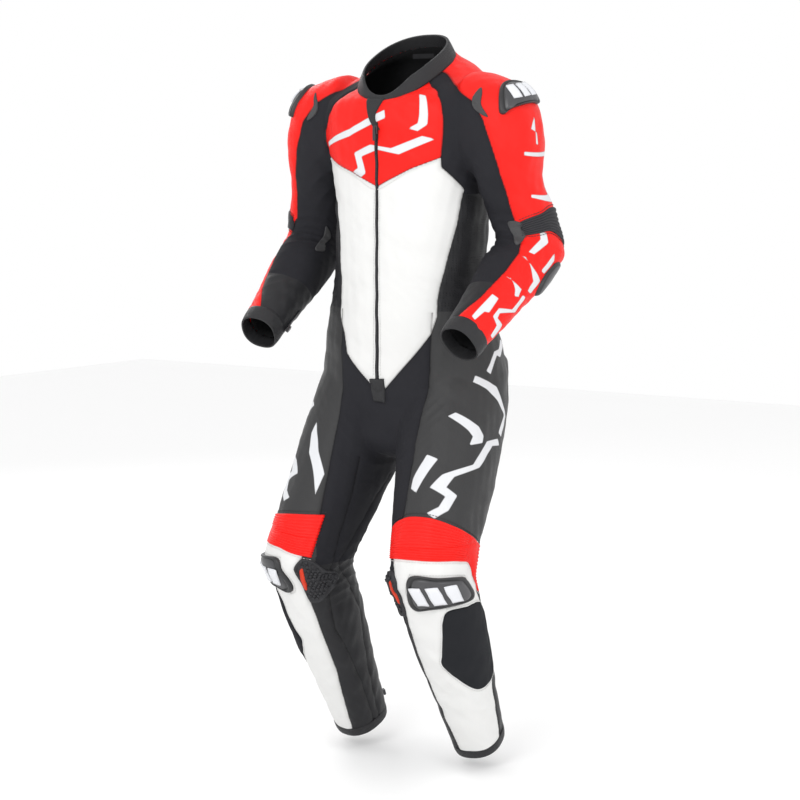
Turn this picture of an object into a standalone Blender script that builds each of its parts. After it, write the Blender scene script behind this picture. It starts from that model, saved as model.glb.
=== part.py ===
"""One-piece leather riding suit, held by its neck hanger in a riding stance, in metres.

X runs across the suit with +X at the wearer's left, -Y is the front and +Z is up.
Heights in this file are measured from the ground under the ankles, and the last step
moves the origin to the hanger loop inside the collar.
"""

from math import atan2, cos, degrees, pi, radians, sin

import bmesh
import bpy
from mathutils import Matrix, Vector

# ---------------------------------------------------------------- driving dimensions
WALL = 0.004            # leather, mesh and lining together
GAP = 0.0006            # between pieces that are sewn or seated on each other
SEAT = 0.0030           # from a curved piece to the middle of the leather it sits on
ROOM = 0.004            # more, for armour inside a strongly curved stretch
PAD = 0.009             # armour foam inside the suit
PLATE = 0.007           # moulded cups outside the suit
TAPE = 0.0016           # zip tape and teeth
SQUARENESS = 2.35       # superellipse exponent of every cross-section

SHOULDER = Vector((0.208, 0.024, 1.285))
ELBOW = Vector((0.254, 0.053, 1.035))
WRIST = Vector((0.235, -0.172, 0.865))
HIP = Vector((0.100, 0.030, 0.740))
KNEE = Vector((0.148, -0.130, 0.412))
ANKLE = Vector((0.145, 0.053, 0.044))

FRONT_Y = -0.098        # the zip lies on this straight front line
ARMHOLE_X = 0.150       # the body panels end at this plane
ARMHOLE_GAP = 0.008
ARMPIT_Z = 1.170
HIP_BALL = 0.128        # radius of the cut that clears the thighs
HIP_CLEARANCE = 0.003
THIGH_FRONT = 88.0      # the angle round the hip axis, from straight down, that the thigh's front takes up
THIGH_BACK = 54.0
HIP_FLEX = 26.0         # how far the cut lets the thigh swing each way
HIP_EXTEND = 10.0

ELBOW_HALF_GAP = 0.036
KNEE_HALF_GAP = 0.044
CUFF_LENGTH = 0.030
ANKLE_BAND = 0.022

ZIP_WIDTH = 0.014
ZIP_TOP = 1.262
ZIP_BOTTOM = 0.850
ZIP_MARGIN = 0.017      # tape beyond each end of the slider's run
TAB_SIZE = (0.030, 0.004, 0.034)
CUFF_ZIP_SPAN = (0.68, 0.99)    # shares along the forearm, on one straight stretch
CUFF_ZIP_ANGLE = -16
CALF_ZIP_SPAN = (0.68, 0.99)    # shares along the shin, on one straight stretch
CALF_ZIP_ANGLE = 290
SLIDER_SIZE = (0.010, 0.005, 0.016)
SMALL_SLIDER_SIZE = (0.008, 0.005, 0.012)
SLIDER_CLEARANCE = 0.0015
PULL_SIZE = (0.006, 0.0022, 0.026)
PULL_CLEARANCE = 0.0008

HANGER = Vector((0.0, 0.064, 1.408))
HANGER_SIZE = (0.050, 0.0025, 0.009)

# Plates and pads: name, finish, span along their tube, angles round it, offsets of their inner and
# outer faces from it, and how much they swell in the middle.
INSIDE = -WALL - SEAT
TORSO_SPANS = (
    ("aero_hump", "leather_black", (1.12, 1.33), (244, 296), SEAT, 0.010, 0.040, 6, 6),
    ("back_protector", "armour_foam", (0.93, 1.28), (246, 294), INSIDE - ROOM - 0.014, INSIDE - ROOM, 0, 9, 5),
    ("chest_pad_left", "armour_foam", (1.08, 1.22), (50, 80), INSIDE - PAD, INSIDE, 0, 4, 4),
    ("chest_pad_right", "armour_foam", (1.08, 1.22), (100, 130), INSIDE - PAD, INSIDE, 0, 4, 4),
    ("hip_pad_left", "armour_foam", (0.885, 0.99), (-24, 30), INSIDE - PAD, INSIDE, 0, 4, 4),
    ("hip_pad_right", "armour_foam", (0.885, 0.99), (150, 204), INSIDE - PAD, INSIDE, 0, 4, 4),
    ("tail_pad", "armour_foam", (0.865, 0.915), (254, 286), INSIDE - PAD, INSIDE, 0, 4, 4),
    ("lumbar_accordion", "stretch_black", (0.93, 1.01), (240, 300), SEAT, 0.006, 0, 3, 7),
)
UPPER_ARM_PIECES = (
    ("shoulder_cup", "plastic_black", (0.14, 0.42), (146, 214), SEAT, PLATE, 0.004, 4, 4),
    ("shoulder_armour", "armour_foam", (0.16, 0.52), (140, 220), INSIDE - ROOM - PAD, INSIDE - ROOM, 0, 8, 4),
)
FOREARM_PIECES = (
    ("elbow_slider", "plastic_black", (0.05, 0.36), (222, 292), SEAT, PLATE, 0.005, 4, 4),
    ("elbow_armour", "armour_foam", (0.05, 0.45), (215, 300), INSIDE - PAD, INSIDE, 0, 4, 4),
)
SHIN_PIECES = (
    ("knee_armour", "armour_foam", (0.03, 0.50), (55, 125), INSIDE - PAD, INSIDE, 0, 4, 4),
    ("knee_cup", "plastic_black", (0.03, 0.22), (62, 134), SEAT, PLATE, 0.004, 4, 4),
    ("inner_knee_grip", "plastic_black", (0.02, 0.26), (-14, 44), SEAT, 0.006, 0, 4, 4),
    ("slider_base", "stretch_black", (0.24, 0.60), (150, 205), SEAT, 0.005, 0, 4, 4),
)

MATERIALS = {
    "leather_white": ((0.86, 0.86, 0.85), 0.55, 0.0),
    "leather_red": ((0.85, 0.03, 0.015), 0.5, 0.0),
    "leather_black": ((0.02, 0.02, 0.022), 0.5, 0.0),
    "stretch_black": ((0.015, 0.015, 0.018), 0.85, 0.0),
    "lining_black": ((0.01, 0.01, 0.01), 0.9, 0.0),
    "plastic_black": ((0.02, 0.02, 0.02), 0.3, 0.0),
    "armour_foam": ((0.08, 0.08, 0.09), 0.8, 0.0),
    "zip_metal": ((0.05, 0.05, 0.055), 0.35, 0.9),
}


# ---------------------------------------------------------------- cross-sections
class Ring:
    """One cross-section: its centre, the normal of its plane, the direction of its first half-axis
    and the two half-axes, the second of which runs towards the front."""

    def __init__(self, centre, normal, across, half_across, half_front):
        self.centre = Vector(centre)
        self.normal = Vector(normal).normalized()
        across = Vector(across)
        across = across - self.normal * across.dot(self.normal)
        self.across = across.normalized()
        self.half_across = half_across
        self.half_front = half_front


def mix(a, b, t):
    return a + (b - a) * t


class Sleeve:
    """A tube through rings. Its points are given by a share along it, an angle and an offset outwards."""

    def __init__(self, rings):
        self.rings = rings

    def ring_at(self, share):
        place = share * (len(self.rings) - 1)
        low = min(int(place), len(self.rings) - 2)
        a, b, t = self.rings[low], self.rings[low + 1], place - low
        return Ring(
            mix(a.centre, b.centre, t),
            mix(a.normal, b.normal, t),
            mix(a.across, b.across, t),
            mix(a.half_across, b.half_across, t),
            mix(a.half_front, b.half_front, t),
        )

    def point(self, share, degrees, offset=0.0):
        ring = self.ring_at(share)
        front = ring.across.cross(ring.normal)
        c, s = cos(radians(degrees)), sin(radians(degrees))
        power = 2.0 / SQUARENESS
        x = (abs(c) ** power) * (1 if c >= 0 else -1) * (ring.half_across + offset)
        y = (abs(s) ** power) * (1 if s >= 0 else -1) * (ring.half_front + offset)
        return ring.centre + ring.across * x + front * y


# ---------------------------------------------------------------- making objects
def face_outwards(made):
    """Turns the faces of a closed bmesh alike, and outwards."""
    bmesh.ops.recalc_face_normals(made, faces=made.faces)
    if made.calc_volume(signed=True) < 0:
        bmesh.ops.reverse_faces(made, faces=made.faces)


def material(name):
    found = bpy.data.materials.get(name)
    if found:
        return found
    colour, roughness, metallic = MATERIALS[name]
    made = bpy.data.materials.new(name)
    made.use_nodes = True
    shader = made.node_tree.nodes["Principled BSDF"]
    shader.inputs["Base Color"].default_value = (*colour, 1.0)
    shader.inputs["Roughness"].default_value = roughness
    shader.inputs["Metallic"].default_value = metallic
    return made


def body(name, place):
    """An empty on a joint, which the pieces of one moving body hang from."""
    empty = bpy.data.objects.new(name, None)
    empty.location = place
    bpy.context.scene.collection.objects.link(empty)
    return empty


def add_object(name, mesh, finish, parent):
    """Puts a mesh whose points are in suit coordinates under its body."""
    mesh.transform(Matrix.Translation(-parent.location))
    mesh.materials.append(material(finish))
    mesh.shade_smooth()
    mesh.set_sharp_from_angle(angle=radians(40))
    made = bpy.data.objects.new(name, mesh)
    made.parent = parent
    bpy.context.scene.collection.objects.link(made)
    return made


def mesh_from(name, points, faces, side):
    """A mesh of the left-hand points, mirrored for the right side, with its faces pointing out."""
    mesh = bpy.data.meshes.new(name)
    mesh.from_pydata([Vector((p.x * side, p.y, p.z)) for p in points], [], faces)
    made = bmesh.new()
    made.from_mesh(mesh)
    face_outwards(made)
    made.to_mesh(mesh)
    made.free()
    return mesh


def tube(name, sleeve, finish, parent, side=1, around=20, along=6, outer=0.0, wall=WALL, span=(0, 1)):
    """An open sleeve with a wall."""
    points, faces = [], []
    for offset in (outer, outer - wall):
        for row in range(along + 1):
            share = mix(span[0], span[1], row / along)
            for column in range(around):
                points.append(sleeve.point(share, 360 * column / around, offset))
    layer = (along + 1) * around
    for row in range(along):
        for column in range(around):
            a = row * around + column
            b = row * around + (column + 1) % around
            faces.append((a, b, b + around, a + around))
            faces.append((layer + a, layer + a + around, layer + b + around, layer + b))
    for row in (0, along):
        for column in range(around):
            a = row * around + column
            b = row * around + (column + 1) % around
            faces.append((a, b, layer + b, layer + a))
    return add_object(name, mesh_from(name, points, faces, side), finish, parent)


def patch(name, sleeve, finish, parent, span, angles, low, high, side=1, along=4, across=4, crown=0.0):
    """A closed curved plate on a sleeve, from offset low to offset high, thicker by crown in its middle."""
    points, faces = [], []
    for layer in (0, 1):
        for row in range(along + 1):
            for column in range(across + 1):
                u, v = row / along, column / across
                rise = crown * (sin(pi * u) * sin(pi * v)) ** 0.6 if layer else 0.0
                offset = (high if layer else low) + rise
                points.append(sleeve.point(mix(*span, u), mix(*angles, v), offset))
    width = across + 1
    layer = (along + 1) * width
    for row in range(along):
        for column in range(across):
            a = row * width + column
            faces.append((a, a + 1, a + 1 + width, a + width))
            faces.append((layer + a, layer + a + width, layer + a + 1 + width, layer + a + 1))
    for row in range(along):
        for column in (0, across):
            a = row * width + column
            faces.append((a, a + width, layer + a + width, layer + a))
    for column in range(across):
        for row in (0, along):
            a = row * width + column
            faces.append((a, a + 1, layer + a + 1, layer + a))
    return add_object(name, mesh_from(name, points, faces, side), finish, parent)


def block(name, centre, size, finish, parent, side=1, axes=None, bevel=0.0):
    """A small bevelled block, its X, Y and Z sides along the given axes."""
    axes = axes or (Vector((1, 0, 0)), Vector((0, 1, 0)), Vector((0, 0, 1)))
    made = bmesh.new()
    bmesh.ops.create_cube(made, size=1.0)
    for vertex in made.verts:
        offset = sum((axes[i] * vertex.co[i] * size[i] for i in range(3)), Vector())
        place = centre + offset
        vertex.co = Vector((place.x * side, place.y, place.z))
    if bevel:
        bmesh.ops.bevel(made, geom=made.edges[:], offset=bevel, segments=1, affect="EDGES")
    face_outwards(made)
    mesh = bpy.data.meshes.new(name)
    made.to_mesh(mesh)
    made.free()
    return add_object(name, mesh, finish, parent)


def prism(name, outline, low_x, high_x, parent):
    """A hidden cutter: an outline in Y and Z, extruded along X."""
    made = bmesh.new()
    ring = [made.verts.new((low_x, y, z)) for y, z in outline]
    face = made.faces.new(ring)
    grown = bmesh.ops.extrude_face_region(made, geom=[face])
    moved = [v for v in grown["geom"] if isinstance(v, bmesh.types.BMVert)]
    bmesh.ops.translate(made, vec=(high_x - low_x, 0, 0), verts=moved)
    face_outwards(made)
    mesh = bpy.data.meshes.new(name)
    made.to_mesh(mesh)
    made.free()
    mesh.transform(Matrix.Translation(-parent.location))
    cutter = bpy.data.objects.new(name, mesh)
    cutter.parent = parent
    cutter.hide_render = True
    cutter.display_type = "WIRE"
    bpy.context.scene.collection.objects.link(cutter)
    return cutter


def cut(target, cutter, operation="DIFFERENCE"):
    modifier = target.modifiers.new(cutter.name, "BOOLEAN")
    modifier.operation = operation
    modifier.object = cutter


# ---------------------------------------------------------------- the shape of each tube
def level(height, half_width, back, tilt=0.0, front=FRONT_Y):
    """A body ring at a height, from its front line to its back, tipped forward at the neck."""
    normal = Vector((0, -sin(radians(tilt)), cos(radians(tilt))))
    middle = Vector((0, (front + back) / 2, height))
    return Ring(middle, normal, (1, 0, 0), half_width, (back - front) / 2 / cos(radians(tilt)))


def torso_rings():
    return Sleeve([
        level(0.660, 0.192, 0.168, front=-0.085),
        level(0.720, 0.194, 0.172, front=-0.090),
        level(0.780, 0.192, 0.168),
        level(0.840, 0.184, 0.155),
        level(0.900, 0.170, 0.138),
        level(0.960, 0.156, 0.130),
        level(1.020, 0.152, 0.136),
        level(1.090, 0.153, 0.148),
        level(1.160, 0.158, 0.156),
        level(1.230, 0.182, 0.158),
        level(1.290, 0.188, 0.152, 4),
        level(1.334, 0.176, 0.138, 12, -0.094),
        level(1.360, 0.134, 0.122, 20, -0.090),
        level(1.372, 0.094, 0.106, 25, -0.086),
    ])


def collar_rings():
    return Sleeve([
        level(1.3738, 0.090, 0.100, 26, -0.083),
        level(1.388, 0.080, 0.089, 27, -0.081),
        level(1.406, 0.074, 0.081, 28, -0.081),
    ])


def upper_sleeve_rings():
    """The sleeve head fans round the armpit from the armhole's plane, then runs to the elbow."""
    start_x = ARMHOLE_X + ARMHOLE_GAP
    pivot = Vector((start_x, 0.026, ARMPIT_Z))
    down = (ELBOW - SHOULDER).normalized()
    rings = []
    for turn, half_high, half_front in ((0, 0.098, 0.080), (30, 0.092, 0.080), (60, 0.068, 0.074), (86, 0.056, 0.068)):
        out = Vector((sin(radians(turn)), 0, cos(radians(turn))))
        normal = Vector((cos(radians(turn)), 0, -sin(radians(turn))))
        centre = pivot + out * (half_high + 0.006)
        rings.append(Ring(centre, normal, -out, half_high, half_front))
    inner = (WRIST - ELBOW).normalized()
    bisector = (down + inner).normalized()
    axis = down.cross(inner).normalized()
    end = ELBOW - down * (ELBOW_HALF_GAP / down.dot(bisector))
    start = rings[-1].centre
    rings.append(Ring(mix(start, end, 0.5), mix(down, bisector, 0.5), axis, 0.056, 0.064))
    rings.append(Ring(end, bisector, axis, 0.056, 0.062 / down.dot(bisector)))
    return Sleeve(rings)


def elbow_frame():
    down = (ELBOW - SHOULDER).normalized()
    inner = (WRIST - ELBOW).normalized()
    return down, inner, (down + inner).normalized(), down.cross(inner).normalized()


def elbow_rings():
    down, inner, bisector, axis = elbow_frame()
    gap = GAP / 2
    lean = down.dot(bisector)
    top = ELBOW - down * ((ELBOW_HALF_GAP - gap * 2) / lean)
    bottom = ELBOW + inner * ((ELBOW_HALF_GAP - gap * 2) / lean)
    middle = mix(top, bottom, 0.5)
    return Sleeve([
        Ring(top, bisector, axis, 0.056, 0.062 / lean),
        Ring(middle, bisector, axis, 0.056, 0.061 / lean),
        Ring(bottom, bisector, axis, 0.055, 0.059 / lean),
    ])


def forearm_rings():
    down, inner, bisector, axis = elbow_frame()
    lean = inner.dot(bisector)
    start = ELBOW + inner * (ELBOW_HALF_GAP / lean)
    end = WRIST - inner * (CUFF_LENGTH + GAP)
    return Sleeve([
        Ring(start, bisector, axis, 0.055, 0.059 / lean),
        Ring(mix(start, end, 0.35), inner, axis, 0.051, 0.055),
        Ring(mix(start, end, 0.68), inner, axis, 0.044, 0.047),
        Ring(end, inner, axis, 0.037, 0.040),
    ])


def cuff_rings():
    _, inner, _, axis = elbow_frame()
    start = WRIST - inner * CUFF_LENGTH
    return Sleeve([Ring(start, inner, axis, 0.037, 0.040), Ring(WRIST, inner, axis, 0.035, 0.038)])


def knee_frame():
    thigh = (KNEE - HIP).normalized()
    shin = (ANKLE - KNEE).normalized()
    return thigh, shin, (thigh + shin).normalized(), thigh.cross(shin).normalized()


def thigh_rings():
    thigh, _, bisector, axis = knee_frame()
    inner = Vector((-1, 0, 0))
    end = KNEE - thigh * (KNEE_HALF_GAP / thigh.dot(bisector))
    above = HIP - thigh * (HIP_BALL + 0.02)
    return Sleeve([
        Ring(above, thigh, inner, 0.076, 0.108),
        Ring(mix(above, HIP, 0.5), thigh, inner, 0.086, 0.114),
        Ring(HIP, thigh, inner, 0.092, 0.114),
        Ring(mix(HIP, end, 0.33), thigh, inner, 0.092, 0.106),
        Ring(mix(HIP, end, 0.66), mix(thigh, bisector, 0.3), inner, 0.085, 0.097),
        Ring(end, bisector, -axis, 0.077, 0.086 / thigh.dot(bisector)),
    ])


def knee_rings():
    thigh, shin, bisector, axis = knee_frame()
    lean = thigh.dot(bisector)
    top = KNEE - thigh * ((KNEE_HALF_GAP - GAP) / lean)
    bottom = KNEE + shin * ((KNEE_HALF_GAP - GAP) / lean)
    return Sleeve([
        Ring(top, bisector, -axis, 0.077, 0.086 / lean),
        Ring(mix(top, bottom, 0.5), bisector, -axis, 0.075, 0.083 / lean),
        Ring(bottom, bisector, -axis, 0.072, 0.078 / lean),
    ])


def shin_rings():
    thigh, shin, bisector, axis = knee_frame()
    lean = shin.dot(bisector)
    start = KNEE + shin * (KNEE_HALF_GAP / lean)
    end = ANKLE - shin * (ANKLE_BAND + GAP)
    return Sleeve([
        Ring(start, bisector, -axis, 0.072, 0.078 / lean),
        Ring(mix(start, end, 0.30), mix(shin, bisector, 0.3), -axis, 0.068, 0.073),
        Ring(mix(start, end, 0.65), shin, -axis, 0.058, 0.063),
        Ring(end, shin, -axis, 0.049, 0.054),
    ])


def ankle_rings():
    _, shin, _, axis = knee_frame()
    start = ANKLE - shin * ANKLE_BAND
    return Sleeve([Ring(start, shin, -axis, 0.049, 0.054), Ring(ANKLE, shin, -axis, 0.047, 0.052)])


# ---------------------------------------------------------------- the body of the suit
def hip_arc(radius, low, high, steps):
    """Points of an arc round the hip axis, its angles measured from straight down towards the front."""
    turns = [radians(mix(low, high, i / steps)) for i in range(steps + 1)]
    return [(HIP.y - radius * sin(t), HIP.z - radius * cos(t)) for t in turns]


def make_torso(root):
    sleeve = torso_rings()
    shell = tube("torso_shell", sleeve, "leather_white", root, around=28, along=13)
    far = 0.5
    for side, name in ((1, "armhole_cut_left"), (-1, "armhole_cut_right")):
        low, high = sorted((side * ARMHOLE_X, side * far))
        box = [(-far, ARMPIT_Z - 0.02), (far, ARMPIT_Z - 0.02), (far, 1.6), (-far, 1.6)]
        cut(shell, prism(name, box, low, high, root))
    front_limit = THIGH_FRONT + HIP_FLEX
    back_limit = -(THIGH_BACK + HIP_EXTEND)
    circle = hip_arc(HIP_BALL, 0, 350, 35)
    cut(shell, prism("hip_ball_cut", circle, -far, far, root))
    sector = [(HIP.y, HIP.z + 0.001)] + hip_arc(far, back_limit, front_limit, 12)
    cut(shell, prism("hip_swing_cut", sector, -far, far, root))
    tube("collar", collar_rings(), "leather_black", root, around=28, along=2)
    return sleeve


def share_of(height, sleeve):
    """The share along an upright sleeve at which its centre line reaches a height."""
    last = len(sleeve.rings) - 1
    for i in range(last):
        low, high = sleeve.rings[i].centre.z, sleeve.rings[i + 1].centre.z
        if low <= height <= high:
            return (i + (height - low) / (high - low)) / last
    return 1.0


def make_torso_pieces(root, torso):
    for name, finish, heights, angles, low, high, crown, along, across in TORSO_SPANS:
        span = tuple(share_of(height, torso) for height in heights)
        patch(name, torso, finish, root, span, angles, low, high, along=along, across=across, crown=crown)


def make_limb_pieces(table, sleeve, parent, side, word):
    for name, finish, span, angles, low, high, crown, along, across in table:
        patch(
            f"{name}_{word}", sleeve, finish, parent, span, angles, low, high, side,
            along=along, across=across, crown=crown,
        )


def make_front_zip(root):
    """The tape lies on the straight front line, and its slider runs down it from the closed top."""
    middle = (ZIP_TOP + ZIP_BOTTOM) / 2
    surface = FRONT_Y - GAP
    length = ZIP_TOP - ZIP_BOTTOM + 2 * ZIP_MARGIN
    block("front_zip_tape", Vector((0, surface - TAPE / 2, middle)), (ZIP_WIDTH, TAPE, length), "stretch_black", root)
    tab_z = ZIP_BOTTOM - ZIP_MARGIN - GAP - TAB_SIZE[2] / 2
    block("zip_garage_tab", Vector((0, surface - TAB_SIZE[1] / 2, tab_z)), TAB_SIZE, "leather_black", root, bevel=0.001)
    slider_y = surface - TAPE - SLIDER_CLEARANCE - SLIDER_SIZE[1] / 2
    place = Vector((0, slider_y, ZIP_TOP))
    slider = body("front_zip_slider_body", place)
    block("front_zip_slider", place, SLIDER_SIZE, "zip_metal", slider, bevel=0.001)
    hinge = Vector((0, slider_y - SLIDER_SIZE[1] / 2 - PULL_CLEARANCE - PULL_SIZE[1] / 2, ZIP_TOP + 0.004))
    pull = body("front_zip_pull_body", hinge)
    drop = Vector((0, 0, -PULL_SIZE[2] / 2 + 0.001))
    block("front_zip_pull", hinge + drop, PULL_SIZE, "zip_metal", pull, bevel=0.0006)


def make_small_zip(name, sleeve, span, degrees, parent, side):
    """A zip along a straight stretch of a limb, closed with its slider at the far end."""
    start = sleeve.point(span[0], degrees)
    end = sleeve.point(span[1], degrees)
    along = (end - start).normalized()
    ring = sleeve.ring_at(span[1])
    out = sleeve.point(span[1], degrees) - ring.centre
    out = (out - along * out.dot(along)).normalized()
    across = out.cross(along).normalized()
    axes = (across, out, along)
    middle = mix(start, end, 0.5) + out * (GAP + 0.0015 + TAPE / 2)
    block(f"{name}_tape", middle, (0.010, TAPE, (end - start).length), "stretch_black", parent, side, axes)
    place = end + out * (GAP + 0.0015 + TAPE + SLIDER_CLEARANCE + SMALL_SLIDER_SIZE[1] / 2) - along * 0.010
    moving = body(f"{name}_slider_body", Vector((place.x * side, place.y, place.z)))
    block(f"{name}_slider", place, SMALL_SLIDER_SIZE, "zip_metal", moving, side, axes)


# ---------------------------------------------------------------- the limbs
def make_arm(side, word):
    def at(place):
        return Vector((place.x * side, place.y, place.z))

    upper = body(f"upper_arm_{word}", at(SHOULDER))
    lower = body(f"forearm_{word}", at(ELBOW))
    head, elbow, fore = upper_sleeve_rings(), elbow_rings(), forearm_rings()
    tube(f"upper_sleeve_{word}", head, "leather_red", upper, side, along=10)
    make_limb_pieces(UPPER_ARM_PIECES, head, upper, side, word)
    tube(f"elbow_accordion_{word}", elbow, "stretch_black", upper, side, along=2)
    tube(f"forearm_sleeve_{word}", fore, "leather_red", lower, side, along=4)
    make_limb_pieces(FOREARM_PIECES, fore, lower, side, word)
    tube(f"cuff_{word}", cuff_rings(), "leather_black", lower, side, along=1)
    make_small_zip(f"cuff_zip_{word}", fore, CUFF_ZIP_SPAN, CUFF_ZIP_ANGLE, lower, side)


def make_leg(side, word):
    def at(place):
        return Vector((place.x * side, place.y, place.z))

    thigh_body = body(f"thigh_{word}", at(HIP))
    shin_body = body(f"shin_{word}", at(KNEE))
    thigh, knee, shin = thigh_rings(), knee_rings(), shin_rings()
    leg = tube(f"thigh_leg_{word}", thigh, "leather_black", thigh_body, side, along=5)
    radius = HIP_BALL - HIP_CLEARANCE
    down = KNEE - HIP
    lean = degrees(atan2(-down.y, -down.z))
    top = hip_arc(radius, lean + 90, lean + 270, 24)
    drop_y, drop_z = -sin(radians(lean)) * 0.6, -cos(radians(lean)) * 0.6
    first, last = top[0], top[-1]
    outline = top + [(last[0] + drop_y, last[1] + drop_z), (first[0] + drop_y, first[1] + drop_z)]
    cut(leg, prism(f"hip_ball_{word}", outline, -0.5, 0.5, thigh_body), "INTERSECT")
    tube(f"knee_accordion_{word}", knee, "leather_red", thigh_body, side, along=2)
    tube(f"shin_leg_{word}", shin, "leather_white", shin_body, side, along=4)
    make_limb_pieces(SHIN_PIECES, shin, shin_body, side, word)
    tube(f"ankle_band_{word}", ankle_rings(), "leather_black", shin_body, side, along=1)
    make_small_zip(f"calf_zip_{word}", shin, CALF_ZIP_SPAN, CALF_ZIP_ANGLE, shin_body, side)


def make_hanger(root):
    block("hanger_loop", HANGER, HANGER_SIZE, "stretch_black", root)


def main():
    for existing in list(bpy.data.objects):
        bpy.data.objects.remove(existing)
    root = body("torso", Vector((0, 0, 0)))
    torso = make_torso(root)
    make_torso_pieces(root, torso)
    make_front_zip(root)
    make_hanger(root)
    for side, word in ((1, "left"), (-1, "right")):
        make_arm(side, word)
        make_leg(side, word)
    for made in bpy.data.objects:
        if made.parent is None:
            made.location -= HANGER


main()
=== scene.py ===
# %% [markdown]
# A one-piece leather riding suit is two things at once. It is a soft skin of leather and
# stretch cloth that crosses every joint, and it is a kit of hard and ribbed parts sewn on top:
# knee and shoulder plates, ribbed stretch inserts, zips, a collar and cuffs. This script makes
# the skin first, as one surface, because a seam only looks right when the cloth on both sides
# of it agrees. Then it cuts the skin where the body bends, and adds the parts one by one.

import bmesh
import bpy
import numpy as np
from math import cos, pi, radians, sin
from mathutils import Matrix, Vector
from mathutils.bvhtree import BVHTree


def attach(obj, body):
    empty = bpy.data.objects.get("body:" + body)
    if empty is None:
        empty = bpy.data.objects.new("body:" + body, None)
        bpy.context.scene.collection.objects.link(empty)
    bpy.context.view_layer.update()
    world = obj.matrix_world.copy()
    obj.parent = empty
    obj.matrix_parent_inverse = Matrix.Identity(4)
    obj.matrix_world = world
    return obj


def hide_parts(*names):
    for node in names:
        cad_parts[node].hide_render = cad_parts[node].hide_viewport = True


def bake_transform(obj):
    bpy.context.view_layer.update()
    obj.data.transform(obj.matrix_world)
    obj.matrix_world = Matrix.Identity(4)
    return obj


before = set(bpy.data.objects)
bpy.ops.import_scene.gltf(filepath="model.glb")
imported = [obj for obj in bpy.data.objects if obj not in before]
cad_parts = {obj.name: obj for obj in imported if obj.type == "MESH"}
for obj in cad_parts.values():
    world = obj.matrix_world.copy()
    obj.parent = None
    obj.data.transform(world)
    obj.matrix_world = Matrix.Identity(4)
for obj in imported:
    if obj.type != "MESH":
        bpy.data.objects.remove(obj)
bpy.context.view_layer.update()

# %% [markdown]
# The CAD model was drafted standing on the ground and then moved so that its origin is the
# hanger loop inside the collar. The sizes below are in the drafting frame, because heights
# above the ground are easier to think about. One function moves finished points to the frame.

# %% Places of the joints, in metres above the ground
HANGER = np.array([0.0, 0.064, 1.408])
SHOULDER = np.array([0.208, 0.024, 1.285])
ELBOW = np.array([0.254, 0.053, 1.035])
WRIST = np.array([0.235, -0.172, 0.865])
HIP = np.array([0.100, 0.030, 0.740])
KNEE = np.array([0.148, -0.130, 0.412])
ANKLE = np.array([0.145, 0.053, 0.044])
FRONT_Y = -0.098
ARMHOLE_X = 0.158
ARMPIT_Z = 1.170
CUFF_LENGTH = 0.030
ANKLE_BAND = 0.022
SQUARENESS = 2.35
SIDES = ((1, "left"), (-1, "right"))


def unit(v):
    v = np.asarray(v, float)
    return v / np.linalg.norm(v)


def mix(a, b, t):
    return a + (b - a) * t


def mirrored(points, side):
    return np.asarray(points, float) * np.array([side, 1.0, 1.0])


print("suit height", round(float(HANGER[2]), 3), "m at the hanger")

# %% [markdown]
# Every tube of the suit is a loft: a list of cross-sections, each with a centre, the normal
# of its plane, a first half-axis across the limb and a second one towards the front. The
# sections are superellipses, a little squarer than ellipses, as padded garments are. The
# spline between them keeps the skin smooth where the CAD solid had flat facets.


# %% A loft through cross-sections
def section(centre, normal, across, half_across, half_front):
    normal = unit(normal)
    across = np.asarray(across, float)
    across = unit(across - normal * across.dot(normal))
    return np.concatenate([centre, normal, across, [half_across, half_front]])


class Loft:
    """Points by share along (0 to 1), angle round and offset outwards."""

    def __init__(self, sections):
        self.sections = np.array(sections)

    def at(self, share):
        rows = self.sections
        last = len(rows) - 1
        place = np.clip(np.atleast_1d(share).astype(float), 0, 1) * last
        low = np.clip(place.astype(int), 0, last - 1)
        t = (place - low)[:, None]
        p0, p1 = rows[np.maximum(low - 1, 0)], rows[low]
        p2, p3 = rows[low + 1], rows[np.minimum(low + 2, last)]
        bent = 0.5 * (2 * p1 + (p2 - p0) * t + (2 * p0 - 5 * p1 + 4 * p2 - p3) * t**2
                      + (3 * p1 - p0 - 3 * p2 + p3) * t**3)
        return mix(mix(p1, p2, t), bent, 0.6)

    def points(self, share, degrees, offset=0.0):
        share, degrees, offset = np.broadcast_arrays(share, degrees, offset)
        rows = self.at(share.ravel())
        turn = np.radians(degrees.ravel().astype(float))
        offset = offset.ravel()[:, None]
        normal, across = rows[:, 3:6], rows[:, 6:9]
        normal = normal / np.linalg.norm(normal, axis=1)[:, None]
        across = across / np.linalg.norm(across, axis=1)[:, None]
        front = np.cross(across, normal)
        power = 2.0 / SQUARENESS
        c, s = np.cos(turn)[:, None], np.sin(turn)[:, None]
        x = np.sign(c) * np.abs(c) ** power * (rows[:, 9:10] + offset)
        y = np.sign(s) * np.abs(s) ** power * (rows[:, 10:11] + offset)
        made = rows[:, :3] + across * x + front * y
        return made.reshape(share.shape + (3,))


def level(height, half_width, back, tilt=0.0, front=FRONT_Y):
    turn = radians(tilt)
    middle = (0.0, (front + back) / 2, height)
    half = (back - front) / 2 / cos(turn)
    return section(middle, (0, -sin(turn), cos(turn)), (1, 0, 0), half_width, half)


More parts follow.
